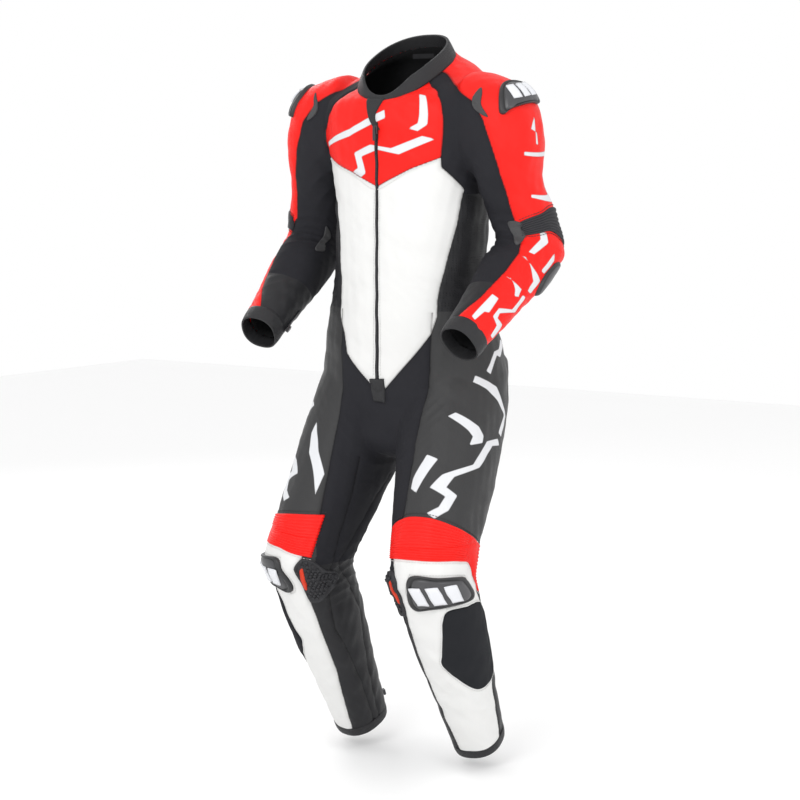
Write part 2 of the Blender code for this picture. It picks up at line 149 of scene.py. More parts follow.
TORSO = Loft([
    level(0.618, 0.070, 0.078, 0, -0.030),
    level(0.632, 0.140, 0.104, 0, -0.068),
    level(0.660, 0.182, 0.126, 0, -0.085),
    level(0.720, 0.194, 0.152, 0, -0.090),
    level(0.780, 0.192, 0.164),
    level(0.840, 0.184, 0.155),
    level(0.900, 0.170, 0.138),
    level(0.960, 0.156, 0.130),
    level(1.020, 0.152, 0.136),
    level(1.090, 0.153, 0.148),
    level(1.160, 0.158, 0.156),
    level(1.230, 0.176, 0.158),
    level(1.290, 0.186, 0.152, 4),
    level(1.334, 0.174, 0.138, 12, -0.094),
    level(1.360, 0.134, 0.122, 20, -0.090),
    level(1.374, 0.092, 0.104, 26, -0.084),
    level(1.400, 0.080, 0.089, 27, -0.081),
])
print("torso loft", len(TORSO.sections), "sections")


# %% The limbs, each in one sweep from the body to its opening
def arm_frame():
    down, inner = unit(ELBOW - SHOULDER), unit(WRIST - ELBOW)
    return down, inner, unit(down + inner), unit(np.cross(down, inner))


def leg_frame():
    thigh, shin = unit(KNEE - HIP), unit(ANKLE - KNEE)
    return thigh, shin, unit(thigh + shin), -unit(np.cross(thigh, shin))


def arm_loft():
    down, inner, bend, axis = arm_frame()
    pivot = np.array([ARMHOLE_X, 0.026, ARMPIT_Z])
    made = []
    fan = ((-8, 0.090, 0.076), (0, 0.098, 0.080), (30, 0.092, 0.080), (60, 0.068, 0.074),
           (86, 0.056, 0.068))
    for turn, half_high, half_front in fan:
        t = radians(turn)
        out = np.array([sin(t), 0, cos(t)])
        made.append(section(pivot + out * (half_high + 0.006), (cos(t), 0, -sin(t)), -out, half_high,
                            half_front))
    start, lean = made[-1][:3], down.dot(bend)
    end = ELBOW - down * (0.036 / lean)
    made.append(section(mix(start, end, 0.5), mix(down, bend, 0.5), axis, 0.056, 0.064))
    made.append(section(end, bend, axis, 0.056, 0.062 / lean))
    made.append(section(ELBOW, bend, axis, 0.056, 0.060 / lean))
    start, end = ELBOW + inner * (0.036 / lean), WRIST - inner * CUFF_LENGTH
    made.append(section(start, bend, axis, 0.055, 0.059 / lean))
    made.append(section(mix(start, end, 0.35), inner, axis, 0.051, 0.055))
    made.append(section(mix(start, end, 0.68), inner, axis, 0.044, 0.047))
    made.append(section(end, inner, axis, 0.037, 0.040))
    made.append(section(WRIST, inner, axis, 0.035, 0.038))
    return Loft(made)


KNEE_EASE = 0.0040  # half of what the front of the knee is drawn in, with its back kept


def leg_loft():
    thigh, shin, bend, axis = leg_frame()
    back = np.cross(bend, axis) * KNEE_EASE
    inner, lean = np.array([-1.0, 0, 0]), thigh.dot(bend)
    end, above = KNEE - thigh * (0.044 / lean), HIP - thigh * 0.10
    made = [
        section(above, thigh, inner, 0.078, 0.106),
        section(mix(above, HIP, 0.5), thigh, inner, 0.086, 0.112),
        section(HIP, thigh, inner, 0.092, 0.114),
        section(mix(HIP, end, 0.33), thigh, inner, 0.092, 0.106),
        section(mix(HIP, end, 0.66), mix(thigh, bend, 0.3), inner, 0.085, 0.097),
        section(end, bend, axis, 0.077, 0.086 / lean),
        section(KNEE + back, bend, axis, 0.0755, 0.083 / lean - KNEE_EASE),
    ]
    start, end = KNEE + shin * (0.044 / lean), ANKLE - shin * ANKLE_BAND
    made += [
        section(start + back, bend, axis, 0.072, 0.078 / lean - KNEE_EASE),
        section(mix(start, end, 0.30), mix(shin, bend, 0.3), axis, 0.068, 0.073),
        section(mix(start, end, 0.65), shin, axis, 0.058, 0.063),
        section(end, shin, axis, 0.049, 0.054),
        section(ANKLE, shin, axis, 0.047, 0.052),
    ]
    return Loft(made)


ARM, LEG = arm_loft(), leg_loft()
print("arm loft", len(ARM.sections), "sections, leg loft", len(LEG.sections))

# %% [markdown]
# Sewing patterns are drawn flat, so each part of the skin gets flat pattern coordinates: u
# runs round the body or the limb and v runs along it, both in metres. On the torso, u is
# measured from the front centre line, positive to the wearer's left, and v is the height.
# On a limb, u is measured from its outer side, positive towards the front, and v from the
# shoulder or the hip downwards. The right side uses the same pattern, mirrored.


# %% Pattern coordinates
def torso_pattern(points):
    rows = TORSO.at(np.interp(points[:, 2], TORSO.sections[:, 2], np.linspace(0, 1, len(TORSO.sections))))
    x = points[:, 0] / rows[:, 9]
    y = (rows[:, 1] - points[:, 1]) / rows[:, 10]
    return np.arctan2(x, y) * 0.155, points[:, 2]


def limb_pattern(points, joints, across, radius):
    """u, v and distance from the limb's line, which bends at the middle one of three joints.
    Close to the bend, v runs from the plane that halves it, so that no cloth is counted twice."""
    a, b, c = joints
    first, second = unit(b - a), unit(c - b)
    half = unit(first + second)
    beyond = (points - b) @ half
    axis = np.where((beyond > 0)[:, None], second, first)
    along = ((points - b) * axis).sum(1)
    t = np.clip((np.abs(beyond) - 0.04) / 0.16, 0, 1)
    v = np.linalg.norm(b - a) + mix(beyond / first.dot(half), along, t * t * (3 - 2 * t))
    away = points - b - axis * along[:, None]
    side = across - axis * (axis @ across)[:, None]
    side /= np.linalg.norm(side, axis=1)[:, None]
    front = np.cross(side, axis)
    turn = np.arctan2((away * front).sum(1), -(away * side).sum(1))
    return turn * radius, v, np.linalg.norm(away, axis=1)


def arm_pattern(points):
    return limb_pattern(points, (SHOULDER, ELBOW, WRIST), arm_frame()[3], 0.055)


def leg_pattern(points):
    return limb_pattern(points, (HIP, KNEE, ANKLE), leg_frame()[3], 0.080)


# %% [markdown]
# The skin starts as closed lofts for the body and the four limbs. A voxel remesh melts them
# into one even surface with soft fillets at the armholes and between the legs, which a
# boolean would leave as hard creases. Its openings are cut afterwards.


# %% The closed lofts, melted into one skin
def closed_loft(loft, side, inset, around, rows):
    share, turn = np.meshgrid(np.linspace(0, 1, rows), np.arange(around) * 360 / around, indexing="ij")
    points = mirrored(loft.points(share, turn, -inset), side).reshape(-1, 3)
    faces = []
    for row in range(rows - 1):
        for column in range(around):
            a, b = row * around + column, row * around + (column + 1) % around
            faces.append((a, b, b + around, a + around))
    faces += [tuple(range(around)), tuple(range((rows - 1) * around, rows * around))]
    return points, faces


def mesh_object(name, points, faces):
    mesh = bpy.data.meshes.new(name)
    mesh.from_pydata([tuple(p) for p in points], [], faces)
    made = bmesh.new()
    made.from_mesh(mesh)
    bmesh.ops.recalc_face_normals(made, faces=made.faces)
    if made.calc_volume(signed=True) < 0:
        bmesh.ops.reverse_faces(made, faces=made.faces)
    made.to_mesh(mesh)
    made.free()
    found = bpy.data.objects.new(name, mesh)
    bpy.context.scene.collection.objects.link(found)
    return found


def evaluated(thing):
    """The object's mesh with its modifiers applied, and the object taken away."""
    graph = bpy.context.evaluated_depsgraph_get()
    mesh = bpy.data.meshes.new_from_object(thing.evaluated_get(graph))
    bpy.data.objects.remove(thing)
    return mesh


def melted_skin(inset, voxel, smoothing):
    points, faces = [], []
    for loft, sides in ((TORSO, (1,)), (ARM, (1, -1)), (LEG, (1, -1))):
        for side in sides:
            more, some = closed_loft(loft, side, inset, 72, 90)
            faces += [tuple(i + len(points) for i in face) for face in some]
            points += list(more)
    lump = mesh_object("lump", points, faces)
    remesh = lump.modifiers.new("melt", "REMESH")
    remesh.mode, remesh.voxel_size = "VOXEL", voxel
    relax = lump.modifiers.new("relax", "SMOOTH")
    relax.factor, relax.iterations = 0.5, smoothing
    mesh = evaluated(lump)
    co = np.empty(len(mesh.vertices) * 3, np.float32)
    mesh.vertices.foreach_get("co", co)
    quads = np.empty(len(mesh.loops), np.int32)
    mesh.loops.foreach_get("vertex_index", quads)
    bpy.data.meshes.remove(mesh)
    return co.reshape(-1, 3).astype(float), quads.reshape(-1, 4)


VOXEL = 0.0034
skin_points, skin_quads = melted_skin(0.0, VOXEL, 6)
print("skin", len(skin_points), "points,", len(skin_quads), "quads")

# %% [markdown]
# The skin is smooth so far. Panels, seams and folds are drawn on it in pattern coordinates.
# An outline is a short list of corner points, as on a paper pattern, and each point of the
# skin stores its distance to the nearest outline: negative inside the panel and positive
# outside. The material turns those distances into crisp edges, finer than the mesh is.


# %% Distances to outlines
def curved(outline, steps=6, closed=True):
    """The outline with a smooth curve through its corners."""
    p = np.array(outline, float)
    n, made = len(p), []
    for i in range(n if closed else n - 1):
        if closed:
            a, b, c, d = p[i - 1], p[i], p[(i + 1) % n], p[(i + 2) % n]
        else:
            a, b, c, d = p[max(i - 1, 0)], p[i], p[i + 1], p[min(i + 2, n - 1)]
        for t in np.arange(steps) / steps:
            made.append(0.5 * (2 * b + (c - a) * t + (2 * a - 5 * b + 4 * c - d) * t**2
                               + (3 * b - a - 3 * c + d) * t**3))
    if not closed:
        made.append(p[-1])
    return np.array(made)


def line_distance(u, v, line, closed=False):
    line = np.array(line, float)
    ends = np.roll(line, -1, axis=0) if closed else line[1:]
    nearest = np.full(len(u), 9.0)
    for a, b in zip(line, ends):
        d = b - a
        t = np.clip(((u - a[0]) * d[0] + (v - a[1]) * d[1]) / max(d @ d, 1e-12), 0, 1)
        nearest = np.minimum(nearest, np.hypot(u - a[0] - d[0] * t, v - a[1] - d[1] * t))
    return nearest


def panel_distance(u, v, outline):
    """Signed distance to a closed outline, negative inside."""
    outline = np.array(outline, float)
    inside = np.zeros(len(u), bool)
    for a, b in zip(outline, np.roll(outline, -1, axis=0)):
        crosses = (a[1] > v) != (b[1] > v)
        inside ^= crosses & (u < (b[0] - a[0]) * (v - a[1]) / (b[1] - a[1] + 1e-12) + a[0])
    return np.where(inside, -1, 1) * line_distance(u, v, outline, closed=True)


print("outline tools ready")

# %% Which part of the skin each point belongs to
side_of = np.where(skin_points[:, 0] >= 0, 1, -1)
folded = skin_points * np.stack([side_of, np.ones(len(side_of)), np.ones(len(side_of))], 1)
torso_u, torso_v = torso_pattern(skin_points)
arm_u, arm_v, arm_far = arm_pattern(folded)
leg_u, leg_v, leg_far = leg_pattern(folded)
fx, fy, fz = folded.T
is_arm = ((fx > ARMHOLE_X) & (fz > ARMPIT_Z - 0.02)) | ((arm_far < 0.085) & (fx > 0.172) & (arm_v > 0.08) & (fz < 1.2))
lap = fx - (fz - 0.62)
is_leg = ~is_arm & (lap > 0)
print("arm points", int(is_arm.sum()), "leg points", int(is_leg.sum()))

# %% [markdown]
# The chest panel and the belly panel are drawn on the torso pattern. The stretch panels that
# run from the collar down the front of each arm cross from the body to the sleeve, so they
# are drawn on a plain front view (distance from the centre, height) instead, where that
# crossing needs no join. The same front view serves the seam down each trouser leg.

# %% Outlines of the torso
CHEST = [(0.140, 1.46), (0.135, 1.360), (0.116, 1.326), (0.115, 1.294), (0.118, 1.255), (0.120, 1.209),
         (0.068, 1.188), (0.000, 1.153), (-0.060, 1.181), (-0.152, 1.212), (-0.143, 1.263), (-0.116, 1.300),
         (-0.104, 1.333), (-0.108, 1.370), (-0.110, 1.46)]
BELLY = [(0.000, 1.153), (0.068, 1.188), (0.120, 1.209), (0.125, 1.190), (0.184, 1.149), (0.169, 1.075),
         (0.148, 1.009), (0.122, 0.937), (0.116, 0.905), (0.100, 0.872), (0.015, 0.764), (0.000, 0.752),
         (-0.015, 0.770), (-0.064, 0.826), (-0.076, 0.866), (-0.093, 0.901), (-0.096, 0.932),
         (-0.115, 1.040),
         (-0.132, 1.120), (-0.196, 1.148), (-0.160, 1.190), (-0.152, 1.212), (-0.060, 1.181)]
CHEST_BARS = [
    [(0.080, 1.328), (0.092, 1.325), (0.090, 1.271), (0.075, 1.259), (0.058, 1.264), (0.074, 1.274)],
    [(-0.011, 1.288), (0.014, 1.300), (0.017, 1.284), (-0.012, 1.272), (-0.058, 1.250), (-0.137, 1.230),
     (-0.137, 1.239), (-0.057, 1.264)],
    [(-0.013, 1.234), (0.029, 1.227), (0.083, 1.250), (0.106, 1.244), (0.044, 1.215), (0.002, 1.224),
     (-0.034, 1.211), (-0.024, 1.179), (-0.037, 1.171), (-0.058, 1.181), (-0.042, 1.189), (-0.051, 1.218)],
]
YOKE_EDGE = [(0.060, 1.420), (0.083, 1.377), (0.126, 1.348), (0.186, 1.314), (0.211, 1.280), (0.227, 1.235),
             (0.239, 1.190), (0.248, 1.138), (0.257, 1.089), (0.262, 1.00)]
BACK_YOKE_EDGE = [(0.000, 1.185), (0.070, 1.200), (0.140, 1.235), (0.190, 1.245), (0.215, 1.220),
                  (0.228, 1.160),
                  (0.234, 1.089), (0.236, 1.00)]
TROUSER_EDGE = {1: [(0.113, 0.95), (0.111, 0.80), (0.104, 0.708), (0.107, 0.617), (0.113, 0.49)],
                -1: [(0.094, 0.95), (0.093, 0.80), (0.088, 0.708), (0.088, 0.617), (0.089, 0.49)]}
print(len(CHEST_BARS), "bars on the chest")

# %% Outlines of the sleeves and legs
SLEEVE_BARS = [
    [(0.026, 0.077), (-0.060, 0.078), (-0.060, 0.085), (0.027, 0.085)],
    [(0.024, 0.166), (0.025, 0.173), (-0.060, 0.156), (-0.060, 0.112), (-0.040, 0.112), (-0.036, 0.148)],
    [(-0.013, 0.010), (-0.004, 0.063), (-0.010, 0.064), (-0.012, 0.042), (0.004, 0.033)],
    [(0.024, 0.240), (0.010, 0.237), (0.010, 0.262), (0.018, 0.296), (0.029, 0.296)],
    [(0.036, 0.309), (0.028, 0.309), (-0.018, 0.352), (-0.021, 0.375), (-0.032, 0.374), (-0.030, 0.342)],
    [(-0.015, 0.270), (-0.026, 0.287), (-0.026, 0.325), (-0.016, 0.323)],
    [(0.037, 0.373), (0.026, 0.372), (0.003, 0.391), (-0.005, 0.403), (-0.014, 0.397), (-0.008, 0.381)],
    [(0.037, 0.430), (0.021, 0.431), (0.018, 0.469), (0.028, 0.474), (0.035, 0.502), (0.046, 0.498)],
    [(-0.028, 0.385), (-0.038, 0.418), (-0.004, 0.452), (-0.010, 0.461), (-0.034, 0.457), (-0.044, 0.489),
     (-0.029, 0.494), (-0.021, 0.471), (0.004, 0.467), (0.006, 0.446), (-0.024, 0.423), (-0.020, 0.388)],
]
FOREARM_EDGE = [(0.060, 0.200), (0.052, 0.266), (0.041, 0.305), (0.042, 0.359), (0.055, 0.451),
                (0.084, 0.511),
                (0.100, 0.540)]
THIGH_BARS = [
    [(0.020, -0.110), (0.000, -0.112), (0.022, -0.070), (0.034, -0.068), (0.040, -0.026), (0.050, -0.028),
     (0.042, -0.072), (0.029, -0.084)],
    [(0.067, -0.012), (0.069, 0.002), (0.044, 0.004), (0.007, 0.014), (-0.024, 0.030), (-0.012, 0.072),
     (-0.024, 0.076), (-0.037, 0.028), (0.020, -0.010)],
    [(0.088, 0.070), (0.098, 0.080), (0.066, 0.099), (0.056, 0.108), (0.060, 0.127), (0.034, 0.112),
     (0.034, 0.097), (0.048, 0.085)],
    [(-0.012, 0.084), (0.023, 0.104), (0.046, 0.160), (0.095, 0.194), (0.112, 0.218), (0.086, 0.228),
     (0.094, 0.243), (0.112, 0.252), (0.098, 0.258), (0.078, 0.246), (0.066, 0.222), (0.086, 0.214),
     (0.076, 0.194), (0.030, 0.160), (0.004, 0.106), (-0.022, 0.094)],
]
FRONT_BAR = {1: [(0.122, 0.157), (0.104, 0.165), (0.134, 0.226), (0.145, 0.219), (0.143, 0.203)],
             -1: [(0.117, 0.112), (0.113, 0.136), (0.122, 0.176), (0.160, 0.240), (0.162, 0.207),
                  (0.140, 0.169)]}
SHIN = [(-0.030, 0.300), (-0.036, 0.432), (-0.034, 0.55), (-0.011, 0.650), (0.005, 0.765), (0.008, 0.80),
        (0.155, 0.80), (0.162, 0.751), (0.180, 0.596), (0.178, 0.470), (0.172, 0.380), (0.178, 0.300)]
LEG_SEAM = [(0.205, 0.150), (0.222, 0.240), (0.230, 0.298), (0.243, 0.360), (0.223, 0.410), (0.208, 0.504),
            (0.217, 0.541), (0.232, 0.643), (0.239, 0.760)]
print(len(SLEEVE_BARS), "sleeve bars,", len(THIGH_BARS) + 1, "thigh bars")


# %% [markdown]
# Some borders are a single line with cloth of one kind on each side of it. For those, the
# sign says which side a point is on: positive on the side that is further from the body's
# centre line. A height table along the line is enough, because these lines run downwards.


# %% Borders that run downwards
def beyond_edge(x, z, edge):
    """Distance to the edge, negative for points further out than it."""
    edge = np.array(sorted(edge, key=lambda p: p[1]))
    place = np.interp(z, edge[:, 1], edge[:, 0])
    return np.where(x > place, -1, 1) * line_distance(x, z, edge)


FAR = 0.2
count = len(skin_points)
zone = {name: np.full(count, FAR) for name in ("red", "white", "charcoal", "bars", "mesh", "stretch",
                                               "seam")}


def add_zone(name, where, distance):
    zone[name][where] = np.minimum(zone[name][where], distance[where])


def add_seam(where, distance):
    zone["seam"][where] = np.minimum(zone["seam"][where], np.abs(distance)[where])


front_half = fy < np.where(is_arm, 0.030, 0.028)
body_part = ~is_arm & ~is_leg
print("zones:", ", ".join(zone))

# %% Draw the torso
chest = panel_distance(torso_u, torso_v, CHEST)
belly = panel_distance(torso_u, torso_v, BELLY)
trunk = ~is_arm & (fz > 0.70)
for name, distance in (("red", chest), ("white", belly)):
    add_zone(name, trunk, distance)
    add_seam(trunk, distance)
for bar in CHEST_BARS:
    add_zone("bars", trunk, panel_distance(torso_u, torso_v, bar))
upper = (fz > 1.0) & (is_arm | (fz > 1.14)) & ((arm_v < 0.235) | ~is_arm)
front_yoke = np.where(chest < 0, FAR, beyond_edge(fx, fz, YOKE_EDGE))
back_yoke = beyond_edge(fx, fz, BACK_YOKE_EDGE)
over_back = (fz > 1.16) & (fx < 0.215)
yoke_height = np.interp(fx, *np.array(BACK_YOKE_EDGE[:5]).T)
back_yoke = np.where(over_back, np.where(fz > yoke_height, -1, 1) * line_distance(fx, fz, BACK_YOKE_EDGE),
                     back_yoke)
yoke = np.where(front_half, front_yoke, back_yoke)
add_zone("red", upper, yoke)
add_seam(upper, np.where(front_half & (chest < 0.02), FAR, yoke))
stretch = np.where(front_half, np.maximum(-front_yoke, -chest), FAR)
add_zone("stretch", upper & front_half, stretch)
print("chest, belly and yoke drawn")

# %% Draw the sides, sleeves and legs
side_panel = np.maximum(np.abs(fz - 1.03) - 0.115, 0.126 - np.abs(torso_u))
side_panel = np.maximum(side_panel, -belly)
add_zone("mesh", body_part & (fz < 1.17), side_panel)
forearm = np.where(arm_u > -0.02, beyond_edge(-arm_u, arm_v, [(-a, b) for a, b in FOREARM_EDGE]),
                   -0.085 - arm_u)
lower_arm = is_arm & (arm_v >= 0.235)
add_zone("red", lower_arm, np.maximum(forearm, arm_v - 0.532))
add_seam(lower_arm, forearm)
for bar in SLEEVE_BARS:
    add_zone("bars", is_arm & (arm_u > -0.08), panel_distance(arm_u, arm_v, bar))
add_zone("stretch", lower_arm, np.maximum(-forearm, arm_v - 0.40))
for side in (1, -1):
    here = (side_of == side) & ~is_arm & (fz < 0.95) & ((leg_v < 0.36) | ~is_leg)
    edge = beyond_edge(fx, fz, TROUSER_EDGE[side])
    charcoal = np.maximum(edge, np.where(is_leg, -FAR, fz - 0.915))
    add_zone("charcoal", here, np.maximum(charcoal, -np.minimum(belly, FAR)))
    add_seam(here & (fz < 0.915), edge)
    add_zone("stretch", here & (fz < 0.9), -edge)
    for bar in THIGH_BARS + [FRONT_BAR[side]]:
        add_zone("bars", (side_of == side) & ~is_arm & (leg_u > -0.1) & (leg_v < 0.30),
                 panel_distance(leg_u, leg_v, bar))
shin = panel_distance(leg_u, leg_v, SHIN)
low = is_leg & (leg_v > 0.29)
add_zone("white", low, shin)
add_seam(low, shin)
add_seam(is_leg & (leg_v > 0.15), line_distance(np.abs(leg_u), leg_v, LEG_SEAM))
add_seam(body_part & (fz < 1.2) & (fy > 0.02), np.abs(fx))
add_seam(~is_arm & (fz < 0.95) & (fz > 0.66) & (fy > 0), np.abs(fz - 0.86 - 0.1 * fx))
print("points inside bars:", int((zone["bars"] < 0).sum()))

# %% [markdown]
# Leather is thick, so a panel domes a little between its seams, and it folds where the rider
# is bent: inside the elbows, behind the knees, at the groin and round the waist. Folds are
# moved points, not a bump, so that they show at the outline too. A few sines whose phases
# drift along the cloth stand in for a cloth simulation of the whole suit.


# %% Domed panels and folds
def soft_noise(points, scale, seed):
    """Smooth noise from a few fixed sines, between about -1 and 1."""
    rng = np.random.default_rng(seed)
    total = np.zeros(len(points))
    for _ in range(6):
        direction = unit(rng.normal(size=3)) * (2 * pi / scale) * rng.uniform(0.7, 1.5)
        total += np.sin(points @ direction + rng.uniform(0, 2 * pi))
    return total / 3.2


def window(value, centre, half):
    t = np.clip(1 - np.abs(value - centre) / half, 0, 1)
    return t * t * (3 - 2 * t)


def folds(along, pitch, drift):
    """Sharp valleys and round ridges along one direction, from -1 to 0."""
    return -np.abs(np.sin(pi * along / pitch + drift)) ** 0.5


def point_normals(points, quads):
    a, b, c, d = (points[quads[:, i]] for i in range(4))
    flat = np.cross(c - a, d - b)
    total = np.zeros_like(points)
    for i in range(4):
        np.add.at(total, quads[:, i], flat)
    return total / np.maximum(np.linalg.norm(total, axis=1)[:, None], 1e-12)


def above_neckline(points):
    """How far points are above the neckline, which rises from the throat to the sides."""
    away = np.degrees(np.arctan2(np.abs(points[:, 0]), 0.010 - points[:, 1]))
    t = np.clip(away / 90, 0, 1)
    tilt = radians(26)
    return (points - np.array([0, 0.010, 1.366])) @ np.array([0, -sin(tilt),
                                                              cos(tilt)]) - 0.014 * t * t * (3 - 2 * t)


seam = zone["seam"]
rise = 0.0016 * (1 - np.exp(-seam / 0.010)) - 0.0010 * np.exp(-((seam / 0.0035) ** 2))
drift = 1.6 * soft_noise(folded, 0.16, 3)
slow = 0.5 + 0.5 * soft_noise(skin_points, 0.11, 5)
inner_elbow = window(arm_v, 0.262, 0.085) * np.clip((arm_u - 0.02) / 0.05, 0, 1) * is_arm
rise += 0.0036 * inner_elbow * (folds(arm_v + 0.2 * arm_u, 0.021, drift) + 0.6)
forearm_folds = window(arm_v, 0.42, 0.12) * is_arm * slow
rise += 0.0014 * forearm_folds * (folds(arm_v + 0.6 * np.abs(arm_u), 0.030, drift) + 0.6)
armpit = window(fz, 1.165, 0.085) * window(fx, 0.175, 0.055) * (fy < 0.09)
rise += 0.0032 * armpit * (folds(fz * 0.8 + fx * 0.75, 0.024, drift) + 0.6)
back_of_knee = window(leg_v, 0.385, 0.11) * np.clip((np.abs(leg_u) - 0.14) / 0.07, 0, 1) * is_leg
rise += 0.0040 * back_of_knee * (folds(leg_v, 0.024, drift) + 0.6)
groin = window(lap, 0.045, 0.085) * (fz < 0.80) * (fy < 0.06) * np.clip((0.17 - fx) / 0.05, 0, 1)
rise += 0.0030 * groin * (folds(lap + 0.15 * fx, 0.026, 0.7 * drift) + 0.6) * slow
waist = window(fz, 0.955, 0.085) * np.clip((np.abs(torso_u) - 0.05) / 0.10, 0, 1) * ~is_arm
rise += 0.0022 * waist * (folds(fz + 0.25 * np.abs(torso_u), 0.027, drift) + 0.6)
calf = window(leg_v, 0.62, 0.16) * is_leg * slow
rise += 0.0012 * calf * (folds(leg_v + 0.3 * leg_u, 0.045, drift) + 0.6)
rise += 0.0011 * soft_noise(skin_points, 0.075, 9) + 0.0005 * soft_noise(skin_points, 0.028, 11)
tucked = np.clip(above_neckline(skin_points) / 0.005, 0, 1) * (np.abs(skin_points[:, 0]) < 0.125)
rise = mix(rise, -0.005, tucked)
skin_points = skin_points + point_normals(skin_points, skin_quads) * rise[:, None]
skin_normals = point_normals(skin_points, skin_quads)
print("folds between", round(float(rise.min()) * 1000, 1), "and", round(float(rise.max()) * 1000, 1), "mm")

# %% [markdown]
# Node trees are built in Python through one function that adds a node, sets its options and
# fills or links its sockets. On top of it, a small class lets shader maths be written as
# ordinary expressions, so a mask reads as a formula and not as a page of node calls.


# %% Node helpers
def put(tree, kind, settings=None, inputs=None):
    node = tree.nodes.new(kind)
    for key, value in (settings or {}).items():
        if key == "stops":
            ramp = node.color_ramp
            while len(ramp.elements) < len(value):
                ramp.elements.new(1.0)
            for element, (place, colour) in zip(ramp.elements, value):
                element.position, element.color = place, colour
        else:
            setattr(node, key, value)
    for key, value in (inputs or {}).items():
        socket = node.inputs[key]
        if isinstance(value, Value):
            value = value.socket
        if isinstance(value, bpy.types.NodeSocket):
            tree.links.new(value, socket)
        else:
            socket.default_value = value
    return node


class Value:
    """A number that varies over a surface."""

    def __init__(self, tree, socket):
        self.tree, self.socket = tree, socket

    def maths(self, operation, *others, clamp=False):
        values = dict(enumerate((self,) + others))
        made = put(self.tree, "ShaderNodeMath", {"operation": operation, "use_clamp": clamp}, values)
        return Value(self.tree, made.outputs[0])

    def __add__(self, other):
        return self.maths("ADD", other)

    def __mul__(self, other):
        return self.maths("MULTIPLY", other)

    def __sub__(self, other):
        return self.maths("SUBTRACT", other)

    def __rsub__(self, other):
        return (self * -1.0) + other

    __radd__, __rmul__ = __add__, __mul__

    def inside(self, softness=0.0009):
        """1 where a distance is negative and 0 where it is positive."""
        return (self * (-1.0 / softness)).maths("ADD", 0.5, clamp=True)

    def near(self, width):
        """1 on a line and 0 beyond the width."""
        return 1.0 - (self.maths("ABSOLUTE") * (1.0 / width)).maths("MINIMUM", 1.0)


def attribute(tree, name):
    return Value(tree, put(tree, "ShaderNodeAttribute", {"attribute_name": name}).outputs["Fac"])


def blend_colour(tree, factor, a, b, mode="MIX"):
    made = put(tree, "ShaderNodeMix", {"data_type": "RGBA", "blend_type": mode},
               {"Factor": factor, 6: a, 7: b})
    return made.outputs[2]


def new_material(name):
    made = bpy.data.materials.new(name)
    made.use_nodes = True
    tree = made.node_tree
    shader = tree.nodes["Principled BSDF"]
    place = put(tree, "ShaderNodeTexCoord").outputs["Object"]
    return made, tree, shader, place


def noise(tree, place, scale, detail=3.0, roughness=0.55):
    made = put(tree, "ShaderNodeTexNoise", None,
               {"Vector": place, "Scale": scale, "Detail": detail, "Roughness": roughness})
    return Value(tree, made.outputs["Fac"])


def cells(tree, place, scale, feature="DISTANCE_TO_EDGE"):
    made = put(tree, "ShaderNodeTexVoronoi", {"feature": feature}, {"Vector": place, "Scale": scale})
    return Value(tree, made.outputs["Distance"])


def bump(tree, shader, height, distance, strength=0.6):
    made = put(tree, "ShaderNodeBump", None, {"Height": height, "Distance": distance, "Strength": strength})
    tree.links.new(made.outputs[0], shader.inputs["Normal"])


print("node helpers ready")

# %% [markdown]
# One material covers the whole skin, because its masks come from the same stored distances.
# Full-grain leather has fine pebbles about a millimetre across, stretch cloth has close ribs,
# and the side panels are punched with small holes, painted dark for the lining seen through them
# and the shade in them. Each mask picks a colour, a roughness and a relief. Seams are a furrow
# with a soft crease beside it, both painted darker as shade, and a thin line of painted shade
# runs along the edges of the bars.

# %% Colours of the suit
RED = (0.82, 0.009, 0.005, 1)
WHITE = (0.72, 0.72, 0.71, 1)
BAR = (0.68, 0.69, 0.71, 1)
BLACK = (0.019, 0.019, 0.021, 1)
CHARCOAL = (0.036, 0.036, 0.037, 1)
STRETCH = (0.016, 0.016, 0.020, 1)
# colour of the punched holes: the dark lining seen through them, and painted shade in them
HOLE_LINING_AND_SHADE = (0.012, 0.012, 0.014, 1)


